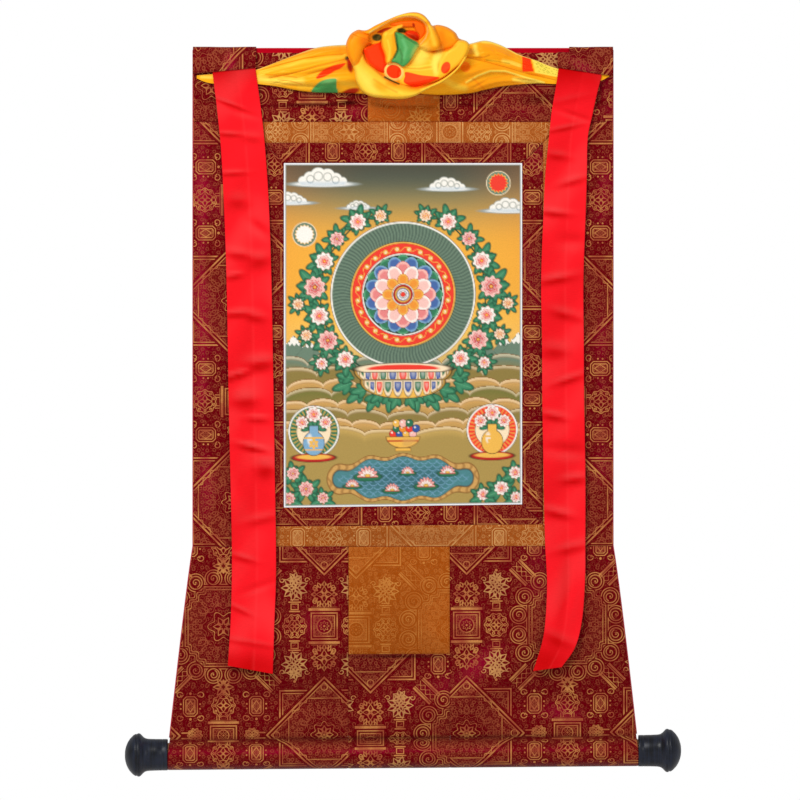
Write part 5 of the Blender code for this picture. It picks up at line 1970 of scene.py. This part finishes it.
class Scene(Paint):
    """The painting, with the forms that it repeats."""

    def put(self, inside, fill, line="ink", width=0.6):
        self.shape(inside, PAINTS[fill], PAINTS[line] if line else None, width)

    def ring_of_petals(self, at, count, low, high, shift, fill, inner, line="crimson"):
        away, turn = self.polar(*at)
        inside = petals(away, turn, count, low, high, shift)
        self.put(inside - 0.3, fill, line, 0.7)
        self.lay(inside - 0.1 * (high - low) - 0.6, PAINTS[inner], 1.6, 0.85)

    def polar(self, x, y):
        return np.hypot(self.x - x, self.y - y), np.arctan2(self.y - y, self.x - x)

    def bloom(self, x, y, size, colours):
        """A full flower with three rows of round petals."""
        away, turn = self.polar(x, y)
        for ring, (colour, (lobes, reach)) in enumerate(zip(colours, BLOOM_ROWS)):
            inside = size * reach * (0.92 + 0.1 * np.cos(turn * lobes + ring)) - away
            self.put(inside, colour, "crimson", 0.5)
            self.lay(1.1 - inside, PAINTS["white"], 1, 0.5 * (inside > 0))
        self.put(size * 0.13 - away, "gold", None)

    def leaf(self, x, y, length, turn):
        """A three-lobed leaf growing from a place in a direction."""
        step = math.radians(turn)
        tip = np.array((math.cos(step), math.sin(step)))
        aside = np.array((-tip[1], tip[0]))
        at = np.array((x, y)) + tip * length * 0.52
        inside = self.oval(*at, length * 0.5, length * 0.2, turn)
        for side in (-1, 1):
            at = np.array((x, y)) + tip * length * 0.36 + aside * side * length * 0.2
            lobe = self.oval(*at, length * 0.3, length * 0.15, turn + side * 42)
            inside = np.maximum(inside, lobe)
        self.put(inside, "leaf", "leaf_dark", 0.6)
        self.lay(inside - 1.3, PAINTS["leaf_pale"], 1.6, 0.45)
        end = (x + tip[0] * length * 0.9, y + tip[1] * length * 0.9)
        self.trace(((x, y), end), 0.4, PAINTS["leaf_pale"], 0.9)

    def cloud(self, x, y, size):
        """A scrolled cloud with a trailing wisp."""
        inside = self.oval(x, y + size * 0.34, size * 2.5, size * 0.22)
        for lobe_x, lobe_y, radius in CLOUD_LOBES:
            lobe = radius * size - self.polar(x + lobe_x * size, y + lobe_y * size)[0]
            inside = np.maximum(inside, np.minimum(lobe, y + 0.5 * size - self.y))
        self.put(inside, "white", "smoke", 0.9)
        for lobe_x, lobe_y, radius in CLOUD_LOBES[1:5]:
            away = self.polar(x + lobe_x * size, y + (lobe_y + 0.06) * size)[0]
            curl = 0.7 - np.abs(away - radius * size * 0.56)
            self.lay(np.minimum(curl, inside - 1), PAINTS["smoke"], 0.8, 0.8)
        self.lay(np.minimum(inside - 0.5, self.y - y - 0.12 * size), PAINTS["sky_blue"], 2, 0.4)

    def ridge(self, down, length, height, shift, colour):
        """A row of rounded rocks or hills: everything below its crest."""
        aside = ((self.x + shift) % length - length / 2) / (length / 2)
        crest = down - height * np.sqrt(np.clip(1 - aside**2, 0, 1)) + 3 * np.cos(self.x / 31)
        inside = self.y - crest
        self.put(inside, colour, "brown", 0.8)
        self.lay(3.4 - inside, PAINTS["cream"], 2.6, 0.5 * (inside > 0))
        self.lay(0.6 - np.abs(inside - 4.2), PAINTS["brown"], 0.6, 0.35)
        self.lay(inside - 9, PAINTS["olive"], 6, 0.5)

    def bowl(self, x, y, size):
        """A footed golden bowl heaped with round fruits."""
        for step in range(11):
            row, place = divmod(step, 4)
            at = x + (place - (3 - row) / 2 if row < 2 else place - 1) * size * 0.5
            colour = ("red", "orange", "leaf", "blush", "gold", "blue")[(step * 5) % 6]
            self.put(size * 0.28 - self.polar(at, y - size * (0.34 + 0.4 * row))[0], colour)
            away = self.polar(at - size * 0.09, y - size * (0.43 + 0.4 * row))[0]
            self.put(size * 0.07 - away, "white", None)
        body = self.oval(x, y - size * 0.1, size * 1.25, size * 0.8)
        body = np.minimum(body, self.y - y + size * 0.08)
        foot = np.minimum(size * 0.55 - np.abs(self.x - x), 1.6 - np.abs(self.y - y - size * 0.86))
        self.put(np.maximum(body, foot), "gold", "brown", 0.8)
        self.lay(np.minimum(0.8 - np.abs(self.y - y - size * 0.2), body), PAINTS["crimson"], 0.5)
        self.lay(np.minimum(body - 1, self.x - x), PAINTS["ochre"], 3, 0.6)

    def vase_of_flowers(self, x, y, size, glaze):
        """A glazed vase on a mat, with a spray of flowers."""
        self.put(self.oval(x, y + size * 1.5, size * 1.7, size * 0.34), "crimson", "ink")
        self.put(self.oval(x, y + size * 1.44, size * 1.4, size * 0.2), "gold", None)
        for turn in (-150, -118, -90, -62, -30):
            self.leaf(x + size * 0.2 * math.cos(math.radians(turn)), y - size * 0.8, size * 1.15, turn)
        body = self.oval(x, y + size * 0.35, size * 0.85, size * 0.95)
        neck_half, neck_down = np.abs(self.x - x), np.abs(self.y - y + size * 0.55)
        neck = np.minimum(size * 0.34 - neck_half, size * 0.5 - neck_down)
        self.put(np.maximum(body, neck), glaze, "ink", 0.8)
        shine = np.minimum(body - 1, self.oval(x - size * 0.34, y, size * 0.2, size * 0.44))
        self.lay(shine, PAINTS["white"], 1.2, 0.7)
        for level in (-0.1, 0.86):
            self.lay(np.minimum(body, 1 - np.abs(self.y - y - level * size)), PAINTS["gold"], 0.4)
        away, turn = self.polar(x, y + size * 0.38)
        self.put(petals(away, turn, 6, size * 0.06, size * 0.42), "gold", None)
        for aside, above, scale in ((0, 2, 0.62), (-0.95, 1.35, 0.5), (0.95, 1.35, 0.5)):
            self.bloom(x + aside * size, y - above * size, size * scale, WHITE_BLOOM)


def paint_sky(scene, width, height):
    """The sky, the sun and the moon, clouds, far peaks and rolling ground."""
    rows = smooth_rows(SKY, np.clip(scene.y, 0, height))
    scene.colour[...] = screen(*np.moveaxis(rows, -1, 0)).transpose(1, 2, 0)
    aside = np.abs(scene.x) / (width / 2)
    near_sun = smooth((200 - np.abs(scene.y - 150)) / 120)
    scene.lay((aside - 1) * 40, PAINTS["orange"], 30, 0.5 * near_sun)
    for x, fill in ((-128, "white"), (124, "red")):
        away, turn = scene.polar(x, 92 if x < 0 else 26)
        scene.put(15 - away, "sage", "cream", 0.9)
        scene.put(11 + 0.9 * np.cos(turn * 16) - away, fill, "gold", 1)
    for cloud in CLOUDS:
        scene.cloud(*cloud)
    for x, size in PEAKS:
        slope = size * 0.9 - np.abs(scene.x - x) * 1.2 - (HORIZON - scene.y)
        inside = np.minimum(slope, HORIZON + 20 - scene.y)
        jagged = inside + 1.2 * np.sin(scene.x * 0.9) + 0.8 * np.sin(scene.x * 2.1)
        scene.put(inside, "sage", "sage_dark")
        snow_ends = HORIZON - size * 0.42 - scene.y + 1.5 * np.sin(scene.x * 1.1)
        scene.put(np.minimum(jagged, snow_ends), "white", None)
    for ridge in RIDGES:
        scene.ridge(*ridge)


def round_wheel(reach, turn):
    """A place this far from the wheel's middle, in this direction."""
    way = math.radians(turn)
    return reach * math.cos(way), WHEEL_DOWN + reach * math.sin(way)


def paint_garland(scene):
    """Flowers and leaves in a garland round the wheel, and big leaves below."""
    for leaf in LOW_LEAVES:
        scene.leaf(*leaf)
    stalk = [round_wheel(STALK_REACH, turn) for turn in range(-80, 70, 10)]
    scene.trace(stalk, 1, PAINTS["leaf_dark"])
    for turn, reach, size, _ in GARLAND:
        for aside, length in GARLAND_LEAVES:
            scene.leaf(*round_wheel(reach, turn), size * length, turn + aside)
    for turn, reach, size, colours in GARLAND:
        scene.bloom(*round_wheel(reach, turn), size, colours)


def paint_wheel(scene):
    """The lotus wheel and the row of lappets that it stands on."""
    at = (0, WHEEL_DOWN)
    away, turn = scene.polar(*at)
    scene.put(WHEEL_RADIUS - away, "white", "ink", 0.6)
    scene.put(WHEEL_RADIUS - 2 - away, "sage", None)
    rays = np.sin(turn * 118 + 1.5 * np.sin(away * 0.22))
    scene.lay(np.minimum(WHEEL_RADIUS - 2.6 - away, rays * 1.3), PAINTS["sage_dark"], 0.8, 0.75)
    scene.put(68 - away, "gold", "ink")
    scene.put(65.6 - away, "red", "crimson")
    cell = (turn * 24 / FULL_TURN) % 1 - 0.5
    aside = cell * FULL_TURN * 59 / 24
    scene.put(3.2 - np.hypot(away - 59, aside), "gold", "crimson", 0.4)
    scene.put(1.4 - np.hypot(away - 59, aside), "white", None)
    scene.lay(0.5 - np.abs(away - 59 - 2.4 * np.sin(turn * 24)), PAINTS["gold"], 0.5, 0.9)
    scene.put(53 - away, "white", "ink")
    scene.put(51.4 - away, "leaf_dark", None)
    scene.ring_of_petals(at, 12, 30, 52, 0.5, "leaf_pale", "leaf", "ink")
    scene.ring_of_petals(at, 12, 28, 50, 0, "sky_blue", "blue", "ink")
    scene.ring_of_petals(at, 8, 12, 43, 0.5, "blush", "pink")
    scene.ring_of_petals(at, 8, 11, 39, 0, "white", "blush")
    scene.ring_of_petals(at, 8, 9, 27, 0.5, "gold", "orange")
    for radius, fill in WHEEL_HUB:
        scene.put(radius - away, fill, "ink", 0.4)
    scene.put(1 - np.hypot(away - 6.2, cell * FULL_TURN * 6.2 / 24), "white", None)


def paint_pedestal(scene):
    """Two rows of lappets under the wheel, and a rim over them."""
    for down, half, tall, lean in ((276, 62, 15, 0), (290, 54, 14, 0.5)):
        edge = scene.oval(0, down - tall * 0.5, half, tall * 1.5)
        inside = np.minimum(edge, scene.y - down + tall * 0.7)
        scene.put(inside, "gold", "ink", 0.8)
        bent = scene.x / np.sqrt(np.clip(1 - (scene.x / (half * 1.4)) ** 2, 0.1, 1))
        cell = (bent / 13.5 + lean) % 3
        for third, colour in enumerate(("red", "blue", "leaf")):
            u = (cell - third + 1.5) % 3 - 1.5
            lappet = 0.5 - np.abs(u)
            shape = np.minimum(lappet * 13 - 0.6, inside - 1)
            end = np.hypot(u / 0.52, (scene.y - down + tall * 0.7) / (tall * 1.5))
            shape = np.minimum(shape, (1 - end) * 7)
            scene.put(shape, "cream", "ink", 0.5)
            scene.put(shape - 1.5, colour, None)
            scene.lay(shape - 3.4, PAINTS["white"], 1.4, 0.35)
    rim = np.minimum(scene.oval(0, 266, 60, 7), 270 - scene.y)
    scene.put(rim, "cream", "ink", 0.7)
    scene.put(np.minimum(rim - 1.6, 267.4 - scene.y), "red", None)


def paint_pond(scene):
    """A pond with small waves, edged with stones, where lilies float."""
    inside = scene.oval(*POND) + 2.4 * np.cos(scene.x / 7)
    scene.put(inside + 4, "ochre", "brown", 0.8)
    stones = np.cos(scene.x * 0.62 + 2 * np.sin(scene.y * 0.3))
    scene.lay(np.minimum(inside + 4, -0.4 - stones), PAINTS["brown"], 0.6, 0.5)
    scene.put(inside, "pond", "ink", 0.6)
    scene.lay(inside - 8, PAINTS["pond_dark"], 10, 0.7)
    row = np.floor(scene.y / 4.6)
    u = ((scene.x / 11 + 0.5 * (row % 2)) % 1 - 0.5) * 11
    arc = np.hypot(u, (scene.y / 4.6 - row) * 4.6 + 2.2) - 5.4
    scene.lay(np.minimum(0.45 - np.abs(arc), inside - 2), PAINTS["sky_blue"], 0.6, 0.75)
    for x, y, size in LILIES:
        scene.put(scene.oval(x, y + size * 0.5, size * 1.6, size * 0.5), "leaf", "leaf_dark")
        away, turn = scene.polar(x, y + size * 0.45)
        for count, reach, fill, inner, shift in LILY_ROWS:
            shape = petals(away, turn, count, 0.6, size * reach, shift)
            shape = np.minimum(shape, y + size * 0.5 - scene.y)
            scene.put(shape, fill, "crimson", 0.5)
            scene.lay(shape - 1, PAINTS[inner], 1.2, 0.6)
        scene.put(scene.oval(x, y + size * 0.34, size * 0.3, size * 0.16), "gold", "brown", 0.4)


def paint_canvas(x, y, width, height):
    """The painting's colours, back to front. What is the same on both sides is laid once."""
    scene = Scene(x, y, PAINTS["gold"])
    paint_sky(scene, width, height)
    scene.x = np.abs(x)
    paint_garland(scene)
    scene.x = x
    paint_wheel(scene)
    scene.x = np.abs(x)
    paint_pedestal(scene)
    scene.x = x
    paint_pond(scene)
    for side, disc, glaze in ((-1, "leaf", "sky_blue"), (1, "red", "gold")):
        away, turn = scene.polar(side * 116, 346)
        rays = np.cos(turn * 36)
        scene.put(33 - away, "white", "ink")
        scene.put(31 - away, disc, None)
        scene.lay(np.minimum(30 - away, rays * 1.4 - 0.2), PAINTS["gold"], 0.8, 0.55)
        scene.put(22 - away, "cream", "ink")
        scene.vase_of_flowers(side * 116, 356, 16, glaze)
    scene.bowl(0, 356, 17)
    for side, down, size in CORNER_BLOOMS:
        for turn in (-150, -100, -40, 20, 160):
            scene.leaf(side, down + size * 0.4, size * 2.3, turn)
        scene.bloom(side, down, size, PINK_BLOOM if side < 0 else WHITE_BLOOM)
    edge = np.minimum(np.minimum(width / 2 - np.abs(x), y), height - y)
    scene.lay(MARGIN + 0.7 - edge, PAINTS["smoke"], 0.4)
    scene.lay(MARGIN - edge, PAINTING_WHITE, 0.3)
    return scene.colour


def canvas_grid(ends):
    """Places over the painting, and across and down from the middle of its top."""
    first, second, third, fourth = drawn_in(ends)
    width, height = second[0] - first[0], third[1] - first[1]
    a = np.linspace(0, 1, round(width / CANVAS_STEP))[None, :, None]
    b = np.linspace(0, 1, round(height / CANVAS_STEP))[:, None, None]
    places = (first * (1 - a) + second * a) * (1 - b) + (fourth * (1 - a) + third * a) * b
    x = (a[..., 0] - 0.5) * width + 0 * b[..., 0]
    y = b[..., 0] * height + 0 * a[..., 0]
    return places[..., 0], places[..., 1], x, y, width, height


def make_painting(ends, finish):
    """The painted canvas inside the borders."""
    across, down, x, y, width, height = canvas_grid(ends)
    points = hang(across, down, PANEL_OUT + CANVAS_THICK / 2 - CANVAS_BEHIND)
    dye_and_painted_light = paint_canvas(x, y, width, height)
    piece = cloth("painting", points, np.stack((x, y), -1), finish, dye_and_painted_light)
    settle(piece, "painting", (width * MM, height * MM))


# ---------------------------------------------------------------- knobs

KNOB_SIDES = 96
KNOB_RISE = 1.4


def knob(name, side, finish):
    """A turned knob on the roller's end."""
    profile = np.array(KNOB_PROFILE)
    turn = np.linspace(0, FULL_TURN, KNOB_SIDES + 1)[:-1]
    along = (ROLLER_HALF_LENGTH + profile[:, 0])[:, None] * side + 0 * turn
    radius = profile[:, 1][:, None]
    lift = SKEW * along + KNOB_RISE
    rings = np.stack((along, radius * np.sin(turn), lift - ROLLER_DOWN + radius * np.cos(turn)), -1) * MM
    last = len(profile) - 1
    points = rings[:last].reshape(-1, 3).tolist() + [rings[last, 0].tolist()]
    faces = []
    for row in range(last - 1):
        for i in range(KNOB_SIDES):
            j = (i + 1) % KNOB_SIDES
            a, b = row * KNOB_SIDES, (row + 1) * KNOB_SIDES
            faces.append((a + i, b + i, b + j, a + j) if side > 0 else (a + i, a + j, b + j, b + i))
    tip, a = len(points) - 1, (last - 1) * KNOB_SIDES
    for i in range(KNOB_SIDES):
        j = (i + 1) % KNOB_SIDES
        faces.append((a + i, tip, a + j) if side > 0 else (a + i, a + j, tip))
    mesh = bpy.data.meshes.new(name)
    mesh.from_pydata(points, [], faces)
    mesh.shade_smooth()
    piece = add_piece(name, mesh, finish)
    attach(piece, BODY)
    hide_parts(name.replace("_turned", ""))


# ---------------------------------------------------------------- the studio

VIEW_WIDTH = 1.04
SENSOR = 36
FLOOR_DOWN = -1.08
FLOOR_RADIUS = 1.7
WHITE = (1, 1, 1, 1)
ROOM_LIGHT = 0.5
# Name, place, what it is turned to, size, power
LIGHTS = (
    ("key", (-1.2, -2.4, 1.4), (0, 0, -0.3), 1.5, 58),
    ("fill", (2.2, -3.8, 0.4), (0, 0, -0.4), 1.8, 25),
)


def make_floor():
    place = (0, 0, FLOOR_DOWN)
    bpy.ops.mesh.primitive_circle_add(vertices=96, radius=FLOOR_RADIUS, fill_type="NGON", location=place)
    floor = bpy.context.object
    floor.name = "floor"
    floor.data.materials.append(pale_floor())


def add_light(name, place, target, size, power):
    data = bpy.data.lights.new(name, "AREA")
    data.shape = "DISK"
    data.size = size
    data.energy = power
    light = bpy.data.objects.new(name, data)
    light.location = place
    light.rotation_euler = (Vector(target) - Vector(place)).to_track_quat("-Z", "Y").to_euler()
    bpy.context.scene.collection.objects.link(light)


def make_studio():
    """A white room, a soft key from the upper left and a weaker fill."""
    scene = bpy.context.scene
    scene.view_settings.view_transform = "Standard"
    world = bpy.data.worlds.new("studio")
    world.use_nodes = True
    scene.world = world
    tree = world.node_tree
    room = tree.nodes["Background"]
    room.inputs["Color"].default_value = WHITE
    room.inputs["Strength"].default_value = ROOM_LIGHT
    behind = tree.nodes.new("ShaderNodeBackground")
    behind.inputs["Color"].default_value = WHITE
    path = tree.nodes.new("ShaderNodeLightPath")
    both = tree.nodes.new("ShaderNodeMixShader")
    tree.links.new(path.outputs["Is Camera Ray"], both.inputs[0])
    tree.links.new(room.outputs[0], both.inputs[1])
    tree.links.new(behind.outputs[0], both.inputs[2])
    tree.links.new(both.outputs[0], tree.nodes["World Output"].inputs["Surface"])
    for light in LIGHTS:
        add_light(*light)


def make_camera():
    data = bpy.data.cameras.new("camera")
    data.sensor_width = SENSOR
    data.lens = SENSOR * abs(CAMERA_AT[1]) / VIEW_WIDTH
    data.clip_end = 100
    camera = bpy.data.objects.new("camera", data)
    camera.location = CAMERA_AT
    camera.rotation_euler = (math.radians(90), 0, 0)
    bpy.context.scene.collection.objects.link(camera)
    bpy.context.scene.camera = camera


def finish_solids():
    """Better finishes for the hard pieces that show as they are."""
    finishes = {
        "stave": lacquer(),
        "roller": turned_wood("roller_wood", screen(150, 104, 66), screen(186, 140, 96), 0.6, 0.4),
    }
    for name, finish in finishes.items():
        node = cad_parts[name]
        for place in node.material_slots:
            place.material = finish


make_camera()
make_studio()
make_floor()
finish_solids()
maroon = brocade(
    "brocade_maroon",
    (screen(98, 0, 10), screen(142, 8, 42)),
    (screen(200, 134, 74), screen(176, 92, 58), screen(206, 154, 94)),
    screen(200, 40, 50),
    -0.16,
    0.86,
)
gold = brocade(
    "brocade_gold",
    (screen(160, 78, 24), screen(180, 84, 30)),
    (screen(216, 158, 96), screen(200, 134, 76), screen(224, 172, 108)),
    screen(230, 150, 70),
    0.1,
)
gold_of_doors = brocade(
    "brocade_gold_deep",
    (screen(158, 72, 12), screen(206, 98, 28)),
    (screen(200, 124, 56), screen(186, 104, 42), screen(206, 136, 64)),
    screen(230, 140, 60),
    0.2,
)
make_panels({"maroon": maroon, "gold": gold_of_doors})
opening = make_borders({"maroon": maroon, "gold": gold})
make_lower_panels(maroon)
make_lining(lining_cloth())
make_painting(opening, painted_canvas())
silk = satin("veil_silk", 0.36, 0.7, screen(255, 220, 120))
red_satin = satin("ribbon_satin", 0.4, 0.8, screen(255, 90, 100))
ribbon("ribbon_left", LEFT_RIBBON, LEFT_WRINKLES, red_satin)
ribbon("ribbon_right", RIGHT_RIBBON, RIGHT_WRINKLES, red_satin)
for cap in CAPS:
    corner_cap(*cap, maroon)
make_swag(silk)
make_rosette(silk)
black = turned_wood("knob_black", screen(5, 7, 13), screen(26, 32, 48), 0.36, 0.26)
knob("knob_left_turned", -1, black)
knob("knob_right_turned", 1, black)
